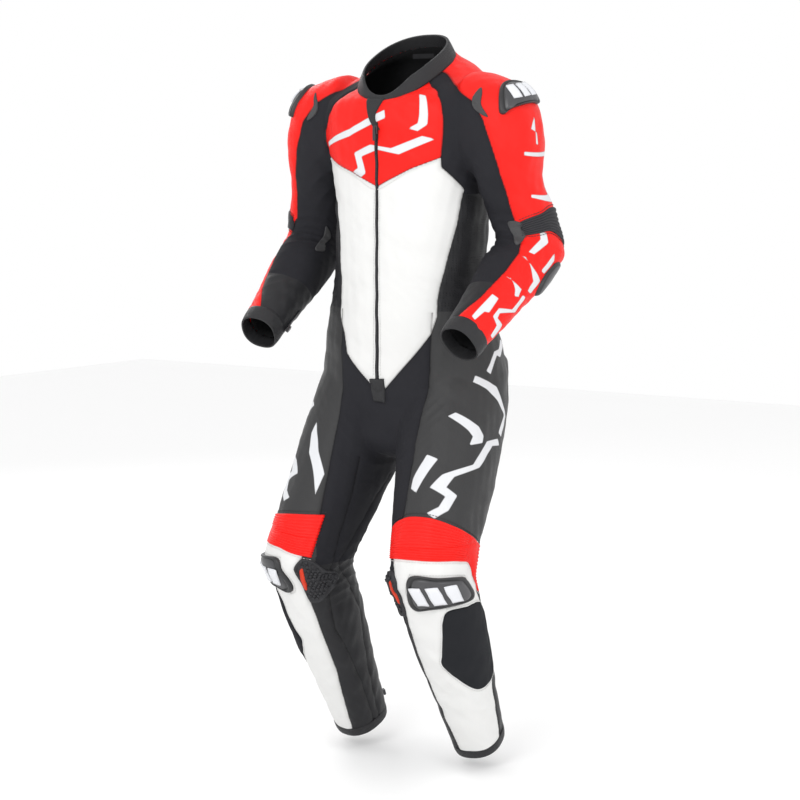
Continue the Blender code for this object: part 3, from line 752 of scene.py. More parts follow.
def skin_material():
    made, tree, shader, place = new_material("suit_skin")
    d = {name: attribute(tree, name) for name in zone}
    pebbles = cells(tree, place, 900.0)
    grain = pebbles.maths("MINIMUM", 0.35) * 2.0 + noise(tree, place, 260.0) * 0.8
    mottled = noise(tree, place, 22.0, 4.0)
    stretch = d["stretch"].inside() * (1.0 - d["red"].inside()) * (1.0 - d["white"].inside())
    weave = put(tree, "ShaderNodeTexWave", {"wave_type": "BANDS", "bands_direction": "DIAGONAL"},
                {"Vector": place, "Scale": 330.0, "Distortion": 0.6})
    weave = Value(tree, weave.outputs["Fac"])
    holes_at = put(tree, "ShaderNodeTexVoronoi", {"feature": "F1"},
                   {"Vector": place, "Scale": 210.0, "Randomness": 0.0})
    holes = (Value(tree, holes_at.outputs["Distance"]) - 0.30).inside(0.12)
    punched = d["mesh"].inside() * holes * (1.0 - d["white"].inside())
    colour = blend_colour(tree, d["charcoal"].inside(), BLACK, CHARCOAL)
    colour = blend_colour(tree, stretch * (1.0 - d["charcoal"].inside()), colour, STRETCH)
    colour = blend_colour(tree, d["white"].inside(), colour, WHITE)
    colour = blend_colour(tree, d["red"].inside(), colour, RED)
    colour = blend_colour(tree, d["bars"].inside(), colour, BAR)
    # the punched holes: the lining's dark colour, and painted shade in each hole
    colour = blend_colour(tree, punched * 0.85, colour, HOLE_LINING_AND_SHADE)
    colour = blend_colour(tree, mottled * 0.16, colour, (0.5, 0.5, 0.5, 1), "OVERLAY")
    # painted shade: dark in the seam furrow, and a softer band of it in the crease beside the seam
    seam_furrow_shade = d["seam"].near(0.0022) + d["seam"].near(0.010) * 0.18
    # painted shade: a thin dark line along the raised edges of the bars
    edge = d["bars"].near(0.0013) * 0.35
    # both kinds of painted shade are multiplied into the colour
    colour = blend_colour(tree, (seam_furrow_shade * 0.75 + edge).maths("MINIMUM", 0.9), colour, (0.10, 0.09, 0.09, 1),
                          "MULTIPLY")
    tree.links.new(colour, shader.inputs["Base Color"])
    rough = 0.46 + stretch * 0.34 + (mottled - 0.5) * 0.16 - d["bars"].inside() * 0.10 + punched * 0.2
    tree.links.new(rough.socket, shader.inputs["Roughness"])
    relief = grain * (1.0 - stretch) * 0.35 + weave * stretch * 0.5 - punched * 1.2 - seam_furrow_shade * 1.6 + d["bars"].inside() * 0.5
    bump(tree, shader, relief, 0.0006, 0.7)
    shader.inputs["Specular IOR Level"].default_value = 0.22
    return made


SKIN = skin_material()
print("skin material with", len(SKIN.node_tree.nodes), "nodes")

# %% [markdown]
# The skin is cut into pieces where the body bends. The torso piece rides on its body; the
# pieces at the shoulders, elbows, hips and knees only have their transforms baked in and ride
# on no body. Both sides keep the normals of the uncut skin, which hides the cut.


# %% Objects from arrays of points
def shown(name, points, faces, material, normals=None, floats=None, smooth=True):
    """A piece at the origin, its points moved from the ground frame to the CAD frame."""
    mesh = bpy.data.meshes.new(name)
    moved = np.asarray(points, float) - HANGER
    mesh.from_pydata(moved.tolist(), [], [tuple(int(i) for i in face) for face in faces])
    mesh.materials.append(material)
    for key, values in (floats or {}).items():
        mesh.attributes.new(key, "FLOAT", "POINT").data.foreach_set("value", np.asarray(values, np.float32))
    if smooth:
        mesh.shade_smooth()
    if normals is not None:
        mesh.normals_split_custom_set_from_vertices(normals.tolist())
    made = bpy.data.objects.new(name, mesh)
    bpy.context.scene.collection.objects.link(made)
    return made


def at_hanger(point):
    return tuple(np.asarray(point, float) - HANGER)


DOWN, INNER, ELBOW_BEND = arm_frame()[:3]
THIGH_DIR, SHIN_DIR, KNEE_BEND = leg_frame()[:3]


def follow(piece, region, side=1):
    """Makes a piece move with the body of its region. A piece at a joint only has its transform baked in and is
    attached to no body.
    """
    word = "left" if side > 0 else "right"

    def across(body_a, body_b, start, end):
        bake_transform(piece)

    if region == "torso":
        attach(piece, "torso")
    elif region == "shoulder":
        across("torso", f"upper_arm_{word}", (ARMHOLE_X, 0, 1.3), (ARMHOLE_X + 0.014, 0, 1.3))
    elif region == "elbow":
        across(f"upper_arm_{word}", f"forearm_{word}", ELBOW - ELBOW_BEND * 0.045,
               ELBOW + ELBOW_BEND * 0.045)
    elif region == "hip":
        across("torso", f"thigh_{word}", (0, 0, 0.62), (0.07, 0, 0.55))
    elif region == "knee":
        across(f"thigh_{word}", f"shin_{word}", KNEE - KNEE_BEND * 0.045, KNEE + KNEE_BEND * 0.045)
    else:
        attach(piece, f"{region}_{word}")
    return piece


def regions_of(points):
    """(region, side) masks of a skin's points, in the order they are cut."""
    side = np.where(points[:, 0] >= 0, 1, -1)
    flat = np.abs(points[:, 0])
    half = np.stack([flat, points[:, 1], points[:, 2]], 1)
    _, av, far = arm_pattern(half)
    arm = ((flat > ARMHOLE_X) & (half[:,
                                      2] > ARMPIT_Z - 0.02)) | ((far < 0.085) & (flat > 0.172) & (av > 0.08) & (half[:, 2] < 1.2))
    leg = ~arm & (flat - (half[:, 2] - 0.62) > 0)
    low_arm = arm & ((half - SHOULDER) @ DOWN > 0.165)
    low_leg = leg & ((half - HIP) @ THIGH_DIR > 0.262)
    made = {("torso", 1): ~arm & ~leg}
    for s, _word in SIDES:
        made["shoulder", s] = arm & ~low_arm & (side == s)
        made["elbow", s] = low_arm & (side == s)
        made["hip", s] = leg & ~low_leg & (side == s)
        made["knee", s] = low_leg & (side == s)
    return made


def open_ends(points, quads, trim):
    """Leaves out the faces that close the neck, the cuffs and the ankles."""
    centre = points[quads].mean(1)
    half = centre * np.stack([np.sign(centre[:, 0]), np.ones(len(centre)), np.ones(len(centre))], 1)
    neck = above_neckline(centre) > trim
    cuff = ((half - WRIST) @ INNER > -CUFF_LENGTH + trim) & (np.linalg.norm(half - WRIST, axis=1) < 0.085)
    ankle = (half - ANKLE) @ SHIN_DIR > -ANKLE_BAND + trim
    return ~(neck & (np.abs(centre[:, 0]) < 0.125)) & ~(cuff & (centre[:, 2] > 0.7)) & ~(ankle & (centre[:,
                                                                                                         2] < 0.2))


def cut_into_pieces(prefix, points, quads, normals, material, floats):
    masks = regions_of(points)
    index = np.full(len(points), -1)
    for i, mask in enumerate(masks.values()):
        index[mask] = i
    kept = quads[open_ends(points, quads, 0.004)]
    owner = np.sort(index[kept], axis=1)[:, 1]
    made = {}
    for i, (region, side) in enumerate(masks):
        faces = kept[owner == i]
        used, local = np.unique(faces, return_inverse=True)
        name = f"{prefix}_{region}" + ("" if region == "torso" else ("_left" if side > 0 else "_right"))
        piece = shown(name, points[used], local.reshape(-1, 4), material, normals[used],
                      {key: values[used] for key, values in floats.items()})
        made[region, side] = follow(piece, region, side)
    return made


skins = cut_into_pieces("skin", skin_points, skin_quads, skin_normals, SKIN, zone)
for (region, side), piece in skins.items():
    print(piece.name, len(piece.data.polygons), "quads")

# %% [markdown]
# Parts sewn on the skin are drawn on the same flat patterns as its colours. A chart turns a
# place on a pattern back into a point on the skin, so a plate drawn flat lies on the curved
# suit, with its thickness along the skin's own normals.


# %% Charts from the flat patterns to the skin
def unit_rows(rows):
    return rows / np.maximum(np.linalg.norm(rows, axis=-1, keepdims=True), 1e-12)


class Chart:
    """Finds the skin's points and normals at places of a flat pattern."""

    def __init__(self, u, v, mask):
        faces = skin_quads[mask[skin_quads].all(1)]
        faces = faces[np.ptp(u[faces], axis=1) < 0.05]
        used, local = np.unique(faces, return_inverse=True)
        local = local.reshape(-1, 4)
        self.corners = np.concatenate([local[:, [0, 1, 2]], local[:, [0, 2, 3]]])
        self.flat = np.stack([u[used], v[used]], 1)
        self.points, self.normals = skin_points[used], skin_normals[used]
        self.tree = BVHTree.FromPolygons([(a, b, 0.0) for a, b in self.flat], self.corners.tolist())

    def place(self, places, lift=0.0):
        """Points lifted off the skin, and the normals there, in the shape of the places."""
        shape = np.shape(places)[:-1]
        hits = [self.tree.find_nearest((a, b, 0.0)) for a, b in np.reshape(places, (-1, 2))]
        corner = self.corners[[hit[2] for hit in hits]]
        near = np.array([hit[0][:2] for hit in hits])
        a, b, c = (self.flat[corner[:, i]] for i in range(3))
        whole = (b[:, 0] - a[:, 0]) * (c[:, 1] - a[:, 1]) - (b[:, 1] - a[:, 1]) * (c[:, 0] - a[:, 0])
        whole = np.where(np.abs(whole) < 1e-14, 1e-14, whole)
        s = ((near[:, 0] - a[:, 0]) * (c[:, 1] - a[:, 1]) - (near[:, 1] - a[:, 1]) * (c[:, 0] - a[:,
                                                                                                  0])) / whole
        t = ((b[:, 0] - a[:, 0]) * (near[:, 1] - a[:, 1]) - (b[:, 1] - a[:, 1]) * (near[:, 0] - a[:,
                                                                                                  0])) / whole
        share = np.clip(np.stack([1 - s - t, s, t], 1), 0, 1)
        share /= share.sum(1)[:, None]
        point = (self.points[corner] * share[:, :, None]).sum(1)
        normal = unit_rows((self.normals[corner] * share[:, :, None]).sum(1))
        point = point + normal * np.broadcast_to(lift, shape).reshape(-1, 1)
        return point.reshape(shape + (3,)), normal.reshape(shape + (3,))


back_u = torso_u - np.sign(torso_u) * pi * 0.155
trunk_only = ~is_arm & (lap < 0.02)
charts = {("front", 1): Chart(torso_u, torso_v, trunk_only & (np.abs(torso_u) < 0.3)),
          ("back", 1): Chart(back_u, torso_v, trunk_only & (np.abs(back_u) < 0.3))}
for side, _word in SIDES:
    charts["arm", side] = Chart(arm_u, arm_v, is_arm & (side_of == side))
    charts["leg", side] = Chart(leg_u, leg_v, (fz < 0.80) & ~is_arm & (side_of == side) & (leg_far < 0.17))
print(len(charts), "charts")

# %% [markdown]
# Two builders cover most parts. A plate grows from the middle of a closed outline in rings,
# so its height can follow a profile with a dome, a groove and a rim. A strip runs between two
# lines, as knitted inserts, tapes and flaps do. Both turn down into the skin at their edge.


# %% Plates and strips
def faced_outwards(points, faces, normals):
    """The faces, turned over if they look into the skin."""
    first = np.array([face[:3] for face in faces[:: max(1, len(faces) // 60)]])
    a, b, c = (points[first[:, i]] for i in range(3))
    facing = (np.cross(b - a, c - a) * normals[first[:, 0]]).sum()
    return faces if facing > 0 else [tuple(reversed(face)) for face in faces]


def plate(name, chart, outline, profile, material, steps=6):
    """A plate inside an outline, from a profile of (share of the way out, height)."""
    edge = curved(outline, steps)
    turn = np.roll(edge, -1, axis=0)
    areas = edge[:, 0] * turn[:, 1] - turn[:, 0] * edge[:, 1]
    middle = ((edge + turn) * areas[:, None]).sum(0) / (3 * areas.sum())
    shares, heights = np.array(profile).T
    places = middle + (edge - middle) * shares[1:, None, None]
    rings, normals = chart.place(places, np.broadcast_to(heights[1:, None], places.shape[:2]))
    centre, up = chart.place([middle], heights[0])
    points = np.concatenate([centre, rings.reshape(-1, 3)])
    normals = np.concatenate([up, normals.reshape(-1, 3)])
    n, faces = len(edge), []
    for j in range(n):
        faces.append((0, 1 + j, 1 + (j + 1) % n))
        for i in range(len(shares) - 2):
            a, b = 1 + i * n + j, 1 + i * n + (j + 1) % n
            faces.append((a, a + n, b + n, b))
    out = np.concatenate([[0.0], np.repeat(shares[1:], n)])
    return shown(name, points, faced_outwards(points, faces, normals), material, floats={"out": out})


def strip(name, chart, first, second, columns, rows, height, material, skirt=-0.0015, crown=0.0):
    """A strip between two lines. Its attribute rib runs across it, and inner tells its edge."""
    def even(line):
        line = curved(line, 8, closed=False)
        length = np.concatenate([[0], np.cumsum(np.linalg.norm(np.diff(line, axis=0), axis=1))])
        steps = np.linspace(0, length[-1], columns)
        return np.stack([np.interp(steps, length, line[:, i]) for i in range(2)], 1)

    first, second = even(first), even(second)
    across = np.linspace(0, 1, rows)
    places = first[:, None] + (second - first)[:, None] * across[None, :, None]
    along = np.linspace(0, 1, columns)
    lift = height + crown * np.sin(pi * along)[:, None] ** 0.5 * np.sin(pi * across)[None, :] ** 0.5
    places = np.pad(places, ((1, 1), (1, 1), (0, 0)), mode="edge")
    lift = np.pad(lift, 1, constant_values=skirt)
    points, normals = chart.place(places, lift)
    c, r = places.shape[:2]
    corner = (np.arange(c - 1)[:, None] * r + np.arange(r - 1)[None, :]).ravel()
    faces = [(a, a + 1, a + 1 + r, a + r) for a in corner.tolist()]
    points, normals = points.reshape(-1, 3), normals.reshape(-1, 3)
    inner = np.pad(np.ones((columns, rows)), 1).ravel()
    rib = np.pad(np.broadcast_to(across, (columns, rows)), 1, mode="edge").ravel()
    return shown(name, points, faced_outwards(points, faces, normals), material,
                 floats={"rib": rib, "inner": inner})


print("builders ready")

# %% [markdown]
# What repeats is made by small node groups: ribs that swell a strip, a row of boxes along a
# path for stitches and zip teeth, and hexagons for the guard inside the knee. Each has named
# inputs, so a pitch or a size is changed in one place. The result is turned into a plain mesh.


# %% Node groups for ribs, rows and hexagons
def group(name, sockets):
    tree = bpy.data.node_groups.new(name, "GeometryNodeTree")
    tree.interface.new_socket("Geometry", in_out="INPUT", socket_type="NodeSocketGeometry")
    for label, kind in sockets:
        tree.interface.new_socket(label, in_out="INPUT", socket_type="NodeSocket" + kind)
    tree.interface.new_socket("Geometry", in_out="OUTPUT", socket_type="NodeSocketGeometry")
    return tree, put(tree, "NodeGroupInput"), put(tree, "NodeGroupOutput")


def finished(tree, geometry, given, result):
    real = put(tree, "GeometryNodeRealizeInstances", None, {"Geometry": geometry})
    done = put(tree, "GeometryNodeSetMaterial", None,
               {"Geometry": real.outputs[0], "Material": given.outputs["Material"]})
    tree.links.new(done.outputs[0], result.inputs[0])
    return tree


def named(tree, name, kind="FLOAT"):
    made = put(tree, "GeometryNodeInputNamedAttribute", {"data_type": kind}, {"Name": name})
    return next(socket for socket in made.outputs if socket.enabled and socket.name == "Attribute")


def rib_group():
    tree, given, result = group("ribs", [("Count", "Float"), ("Height", "Float"), ("Material", "Material")])
    phase = Value(tree, named(tree, "rib")) * Value(tree, given.outputs["Count"]) * pi
    wave = phase.maths("SINE").maths("ABSOLUTE").maths("POWER", 0.6)
    height = wave * Value(tree, named(tree, "inner")) * Value(tree, given.outputs["Height"])
    normal = put(tree, "GeometryNodeInputNormal").outputs[0]
    offset = put(tree, "ShaderNodeVectorMath", {"operation": "SCALE"}, {"Vector": normal, "Scale": height})
    moved = put(tree, "GeometryNodeSetPosition", None,
                {"Geometry": given.outputs["Geometry"], "Offset": offset.outputs[0]})
    return finished(tree, moved.outputs[0], given, result)


def row_group():
    tree, given, result = group("row of small parts",
                                [("Spacing", "Float"), ("Size", "Vector"), ("Material", "Material")])
    path = put(tree, "GeometryNodeMeshToCurve", None, {"Mesh": given.outputs["Geometry"]})
    even = put(tree, "GeometryNodeResampleCurve", {"mode": "LENGTH"},
               {"Curve": path.outputs[0], "Length": given.outputs["Spacing"]})
    turn = put(tree, "FunctionNodeAxesToRotation", {"primary_axis": "X", "secondary_axis": "Z"},
               {"Primary Axis": put(tree, "GeometryNodeInputTangent").outputs[0],
                "Secondary Axis": named(tree, "up", "FLOAT_VECTOR")})
    box = put(tree, "GeometryNodeMeshCube", None, {"Size": given.outputs["Size"]})
    many = put(tree, "GeometryNodeInstanceOnPoints", None,
               {"Points": even.outputs[0], "Instance": box.outputs[0], "Rotation": turn.outputs[0]})
    return finished(tree, many.outputs[0], given, result)


def hexagon_group():
    tree, given, result = group("hexagons",
                                [("Radius", "Float"), ("Height", "Float"), ("Material", "Material")])
    radius = Value(tree, given.outputs["Radius"])
    turn = put(tree, "FunctionNodeAxesToRotation", {"primary_axis": "Z", "secondary_axis": "X"},
               {"Primary Axis": named(tree, "up", "FLOAT_VECTOR"),
                "Secondary Axis": named(tree, "along", "FLOAT_VECTOR")})
    shape = put(tree, "GeometryNodeMeshCone", None,
                {"Vertices": 6, "Radius Top": radius * 0.72, "Radius Bottom": radius,
                 "Depth": given.outputs["Height"]})
    many = put(tree, "GeometryNodeInstanceOnPoints", None,
               {"Points": given.outputs["Geometry"], "Instance": shape.outputs[0],
                "Rotation": turn.outputs[0]})
    return finished(tree, many.outputs[0], given, result)


def made_plain(piece, tree, **inputs):
    """Runs a node group on a piece and keeps its result as a plain mesh."""
    modifier = piece.modifiers.new(tree.name, "NODES")
    modifier.node_group = tree
    for item in tree.interface.items_tree:
        if item.in_out == "INPUT" and item.name in inputs:
            modifier[item.identifier] = inputs[item.name]
    graph = bpy.context.evaluated_depsgraph_get()
    mesh = bpy.data.meshes.new_from_object(piece.evaluated_get(graph), depsgraph=graph)
    piece.modifiers.clear()
    piece.data = mesh
    return piece


RIBS, ROW, HEXAGONS = rib_group(), row_group(), hexagon_group()


def path_object(name, paths, extra=None):
    """Lines of points with their up directions, as a mesh of edges."""
    points = np.concatenate([line for line, _ in paths]) - HANGER
    up = np.concatenate([normals for _, normals in paths])
    edges, start = [], 0
    for line, _ in paths:
        if extra is None:
            edges += [(start + i, start + i + 1) for i in range(len(line) - 1)]
        start += len(line)
    mesh = bpy.data.meshes.new(name)
    mesh.from_pydata(points.tolist(), edges, [])
    for key, values in (("up", up), ("along", extra)):
        if values is not None:
            mesh.attributes.new(key, "FLOAT_VECTOR", "POINT").data.foreach_set("vector",
                                                                               values.astype(np.float32).ravel())
    made = bpy.data.objects.new(name, mesh)
    bpy.context.scene.collection.objects.link(made)
    return made


def split_by_region(piece, material):
    """Gives each region of the body its own part of a piece that runs over several of them."""
    mesh = piece.data
    points = np.array([v.co for v in mesh.vertices]) + HANGER
    faces = [tuple(f.vertices) for f in mesh.polygons]
    centres = np.array([points[list(face)].mean(0) for face in faces])
    name = piece.name
    bpy.data.objects.remove(piece)
    for (region, side), mask in regions_of(centres).items():
        mine = [face for face, inside in zip(faces, mask) if inside]
        if not mine:
            continue
        used = sorted({i for face in mine for i in face})
        index = {old: new for new, old in enumerate(used)}
        word = "" if region == "torso" else ("_left" if side > 0 else "_right")
        part = shown(f"{name}_{region}{word}", points[used],
                     [tuple(index[i] for i in face) for face in mine],
                     material, smooth=False)
        follow(part, region, side)


print("node groups:", RIBS.name, "/", ROW.name, "/", HEXAGONS.name)

# %% [markdown]
# The sewn and moulded parts need their own finishes: satin plastic with a soft sheen, matt
# rubber, woven tape, brushed hook-and-loop pile, foam, thread and dark metal. Each has some
# unevenness of colour and roughness, and a fine relief of its own kind.


# %% Finishes of the parts
def finish(name, colour, roughness, relief, scale, depth, metallic=0.0, uneven=0.18):
    made, tree, shader, place = new_material(name)
    patches = noise(tree, place, 24.0, 4.0)
    tree.links.new(blend_colour(tree, patches * uneven, colour, (0.5, 0.5, 0.5, 1), "OVERLAY"),
                   shader.inputs["Base Color"])
    tree.links.new(((patches - 0.5) * 0.22 + roughness).socket, shader.inputs["Roughness"])
    shader.inputs["Metallic"].default_value = metallic
    shader.inputs["Specular IOR Level"].default_value = 0.25
    if relief == "pebbles":
        height = cells(tree, place, scale).maths("MINIMUM", 0.35) * 2.0 + noise(tree, place,
                                                                                scale * 0.3) * 0.8
    elif relief == "weave":
        waves = [put(tree, "ShaderNodeTexWave", {"wave_type": "BANDS", "bands_direction": axis},
                     {"Vector": place, "Scale": scale, "Distortion": 0.4}) for axis in ("X", "Z")]
        height = Value(tree, waves[0].outputs["Fac"]) * Value(tree, waves[1].outputs["Fac"])
    else:
        height = noise(tree, place, scale, 5.0, 0.7)
    bump(tree, shader, height, depth, 0.7)
    return made


def plate_finish():
    """Satin plastic whose groove is painted darker as shade, and whose rim is a duller rubber."""
    made, tree, shader, place = new_material("plate_plastic")
    out = attribute(tree, "out")
    # where the groove dips, for the painted shade in it
    groove_shade = (out - 0.84).near(0.05)
    rim = (0.84 - out).inside(0.02)
    patches = noise(tree, place, 40.0, 4.0)
    colour = blend_colour(tree, rim, (0.050, 0.050, 0.054, 1), (0.020, 0.020, 0.022, 1))
    # painted shade: the groove darkened almost to black
    colour = blend_colour(tree, groove_shade * 0.8, colour, (0.008, 0.008, 0.009, 1))
    tree.links.new(blend_colour(tree, patches * 0.2, colour, (0.5, 0.5, 0.5, 1), "OVERLAY"),
                   shader.inputs["Base Color"])
    tree.links.new((0.34 + rim * 0.10 + (patches - 0.5) * 0.2).socket, shader.inputs["Roughness"])
    bump(tree, shader, noise(tree, place, 700.0), 0.0003, 0.5)
    return made


LEATHER_BLACK = finish("leather_black", (0.024, 0.024, 0.026, 1), 0.48, "pebbles", 900.0, 0.0006)
WING = finish("wing_leather", (0.062, 0.062, 0.064, 1), 0.55, "pebbles", 900.0, 0.0006)
RIB_BLACK = finish("rib_knit_black", (0.030, 0.030, 0.034, 1), 0.62, "noise", 500.0, 0.0004)
RIB_RED = finish("rib_leather_red", RED, 0.46, "noise", 600.0, 0.0003, uneven=0.10)
PILE = finish("hook_and_loop_pile", (0.013, 0.014, 0.017, 1), 0.92, "noise", 900.0, 0.0012)
RUBBER = finish("guard_rubber", (0.030, 0.030, 0.033, 1), 0.52, "noise", 500.0, 0.0004)
RED_RUBBER = finish("guard_red", (0.62, 0.040, 0.012, 1), 0.45, "noise", 500.0, 0.0003)
EMBLEM = finish("emblem_white", (0.72, 0.73, 0.76, 1), 0.34, "noise", 300.0, 0.0002, uneven=0.10)
LINING = finish("lining_mesh", (0.012, 0.012, 0.013, 1), 0.88, "weave", 260.0, 0.0008)
TAPE = finish("zip_tape", (0.016, 0.016, 0.018, 1), 0.82, "weave", 420.0, 0.0005)
THREAD = finish("thread", (0.030, 0.029, 0.030, 1), 0.60, "noise", 900.0, 0.0003)
PALE_THREAD = finish("thread_pale", (0.62, 0.62, 0.61, 1), 0.60, "noise", 900.0, 0.0003)
FOAM = finish("armour_foam", (0.030, 0.030, 0.034, 1), 0.85, "noise", 420.0, 0.0010)
METAL = finish("zip_metal", (0.075, 0.075, 0.080, 1), 0.34, "noise", 260.0, 0.0002, metallic=0.9)
PLASTIC = plate_finish()
print(len(bpy.data.materials), "materials")

# %% [markdown]
# Below the knees and on the shoulders, each plate has a rubber rim, a groove and a raised
# field with three plain slanted stripes. The hexagon guard sits inside the knee, and the
# pile patch for a slider covers the outer shin.

# %% Outlines of the plates
KNEE_PLATE = [(0.128, 0.352), (0.078, 0.357), (0.036, 0.361), (0.017, 0.368), (-0.001, 0.402),
              (0.010, 0.417),
              (0.056, 0.421), (0.109, 0.425), (0.137, 0.429), (0.149, 0.414), (0.142, 0.383)]
KNEE_GUARD = [(0.178, 0.345), (0.198, 0.350), (0.226, 0.370), (0.250, 0.378), (0.252, 0.393),
              (0.228, 0.419),
              (0.200, 0.441), (0.183, 0.446), (0.174, 0.438), (0.172, 0.403), (0.167, 0.372),
              (0.170, 0.355)]
GUARD_BAR = [(0.179, 0.369), (0.185, 0.369), (0.182, 0.412), (0.176, 0.412)]
PILE_PATCH = [(0.070, 0.432), (0.020, 0.432), (-0.025, 0.434), (-0.050, 0.460), (-0.060, 0.505),
              (-0.060, 0.550),
              (-0.050, 0.595), (-0.031, 0.616), (0.002, 0.619), (0.035, 0.615), (0.062, 0.603),
              (0.092, 0.566),
              (0.115, 0.529), (0.110, 0.510), (0.098, 0.480), (0.088, 0.452)]
SHOULDER_PLATE = [(0.049, -0.014), (0.044, -0.004), (0.031, -0.011), (0.006, -0.014), (-0.021, -0.014),
                  (-0.045, -0.011), (-0.058, -0.028), (-0.050, -0.048), (-0.020, -0.058), (0.015, -0.060),
                  (0.040, -0.052)]
ELBOW_SLIDER = [(-0.068, 0.285), (-0.051, 0.276), (-0.034, 0.285), (-0.028, 0.315), (-0.035, 0.350),
                (-0.050, 0.364), (-0.065, 0.350), (-0.073, 0.315)]
SHOULDER_WING = {1: [(0.079, -0.061), (0.090, -0.046), (0.086, -0.026), (0.068, -0.006), (0.067, -0.011),
                     (0.075, -0.032), (0.074, -0.051)],
                 -1: [(0.085, -0.060), (0.096, -0.040), (0.094, -0.022), (0.084, -0.008), (0.082, -0.011),
                      (0.088, -0.038)]}
ELBOW_WING = {1: [(0.076, 0.230), (0.051, 0.231), (0.055, 0.241), (0.049, 0.252), (0.050, 0.283),
                  (0.058, 0.280),
                  (0.071, 0.252)],
              -1: [(0.123, 0.234), (0.133, 0.248), (0.130, 0.280), (0.136, 0.294), (0.124, 0.303),
                   (0.119, 0.295),
                   (0.120, 0.262)]}
RIM = [(0, 0.0092), (0.20, 0.0092), (0.40, 0.0090), (0.56, 0.0086), (0.70, 0.0081), (0.79, 0.0076),
       (0.82, 0.0050),
       (0.86, 0.0050), (0.89, 0.0078), (0.95, 0.0078), (0.985, 0.0060), (1.0, 0.0030), (1.01, -0.0020)]
FLAT = [(i / 10, 0.0032) for i in range(9)] + [(0.88, 0.0031), (0.94, 0.0029), (0.985, 0.0020),
                                               (1.0, 0.0008), (1.005, -0.0010)]
SLAB = [(0, 0.0082), (0.25, 0.0081), (0.50, 0.0078), (0.75, 0.0068), (0.90, 0.0052), (1.0, 0.0015),
        (1.01, -0.0020)]
GUARD = [(0, 0.0046), (0.25, 0.0046), (0.5, 0.0046), (0.7, 0.0046), (0.86, 0.0044), (0.90, 0.0064),
         (0.96, 0.0064), (1.0, 0.0030), (1.01, -0.0015)]


def stripes(name, chart, start, pitch, width, top, bottom, slant, height):
    """Three plain slanted stripes raised from a plate."""
    made = []
    for i in range(3):
        a, b = start - pitch * i, start - pitch * i - width
        made.append(strip(f"{name}_{i + 1}", chart, [(a, top), (a - slant, bottom)],
                          [(b, top), (b - slant, bottom)],
                          8, 6, height, EMBLEM, skirt=height - 0.003))
    return made


for side, word in SIDES:
    arm, leg = charts["arm", side], charts["leg", side]
    for piece, body, node, slot in (
        (plate(f"knee_plate_{word}", leg, KNEE_PLATE, RIM, PLASTIC), "shin", f"knee_cup_{word}",
         "plastic_black"),
        (plate(f"knee_guard_{word}", leg, KNEE_GUARD, GUARD, RUBBER), "shin", f"inner_knee_grip_{word}",
         "plastic_black"),
        (plate(f"pile_patch_{word}", leg, PILE_PATCH, FLAT, PILE), "shin", f"slider_base_{word}",
         "stretch_black"),
        (plate(f"shoulder_plate_{word}", arm, SHOULDER_PLATE, RIM, PLASTIC), "upper_arm",
         f"shoulder_cup_{word}", "plastic_black"),
        (plate(f"elbow_plate_{word}", arm, ELBOW_SLIDER, SLAB, PLASTIC), "forearm", f"elbow_slider_{word}",
         "plastic_black"),
    ):
        follow(piece, body, side)
        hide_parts(node)
    follow(plate(f"guard_bar_{word}", leg, GUARD_BAR, [(0, 0.0072), (0.9, 0.0070), (1.0, 0.0040)],
                 RED_RUBBER), "shin", side)
    for piece in stripes(f"knee_stripe_{word}", leg, 0.132, 0.031, 0.022, 0.372, 0.410, 0.008, 0.0118):
        follow(piece, "shin", side)
    for piece in stripes(f"shoulder_stripe_{word}", arm, 0.030, 0.022, 0.015, -0.048, -0.026, 0.004,
                         0.0118):
        follow(piece, "upper_arm", side)
    for name, chart, outline, region in ((f"shoulder_wing_{word}", arm, SHOULDER_WING[side], "shoulder"),
                                         (f"elbow_wing_{word}", arm, ELBOW_WING[side], "elbow")):
        piece = plate(name, chart, outline, FLAT, WING)
        follow(piece, region, side)
print("plates on", len(SIDES), "sides")

# %% Hexagons in the knee guards
for side, word in SIDES:
    pitch = 0.0078
    grid = np.array([(0.17 + pitch * (i + 0.5 * (j % 2)),
                      0.34 + pitch * 0.866 * j) for i in range(12) for j in range(17)])
    deep = panel_distance(grid[:, 0], grid[:, 1], curved(KNEE_GUARD)) < -0.0062
    clear = panel_distance(grid[:, 0], grid[:, 1], GUARD_BAR) > 0.003
    spots = grid[deep & clear]
    points, up = charts["leg", side].place(spots, 0.0050)
    ahead, _ = charts["leg", side].place(spots + (0.002, 0), 0.0050)
    piece = path_object(f"guard_hexagons_{word}", [(points, up)], extra=unit_rows(ahead - points))
    made_plain(piece, HEXAGONS, Radius=0.0037, Height=0.0026, Material=RUBBER)
    follow(piece, "shin", side)
    print(piece.name, len(spots))

# %% [markdown]
# Ribbed stretch inserts let the suit bend above the knees, at the elbows and over the small
# of the back. They are strips between two measured lines, and their ribs run along them.

# %% Ribbed inserts
KNEE_TOP = {1: [(0.186, 0.268), (0.150, 0.257), (0.102, 0.258), (0.059, 0.268), (0.020, 0.284),
                (-0.036, 0.310)],
            -1: [(0.186, 0.262), (0.150, 0.268), (0.120, 0.272), (0.059, 0.280), (0.020, 0.290),
                 (-0.036, 0.312)]}
KNEE_BOTTOM = {1: [(0.190, 0.322), (0.149, 0.319), (0.082, 0.324), (0.040, 0.330), (0.000, 0.346),
                   (-0.040, 0.412)],
               -1: [(0.190, 0.342), (0.150, 0.335), (0.117, 0.329), (0.060, 0.332), (0.000, 0.346),
                    (-0.040, 0.412)]}
ELBOW_TOP = [(0.053, 0.229), (0.016, 0.203), (-0.020, 0.176), (-0.055, 0.166), (-0.088, 0.166)]
ELBOW_BOTTOM = [(0.055, 0.260), (0.024, 0.243), (-0.006, 0.228), (-0.050, 0.232), (-0.088, 0.238)]


def ribbed(name, chart, top, bottom, count, height, material, columns=48):
    piece = strip(name, chart, top, bottom, columns, count * 6 + 1, 0.0014, material)
    return made_plain(piece, RIBS, Count=float(count), Height=height, Material=material)


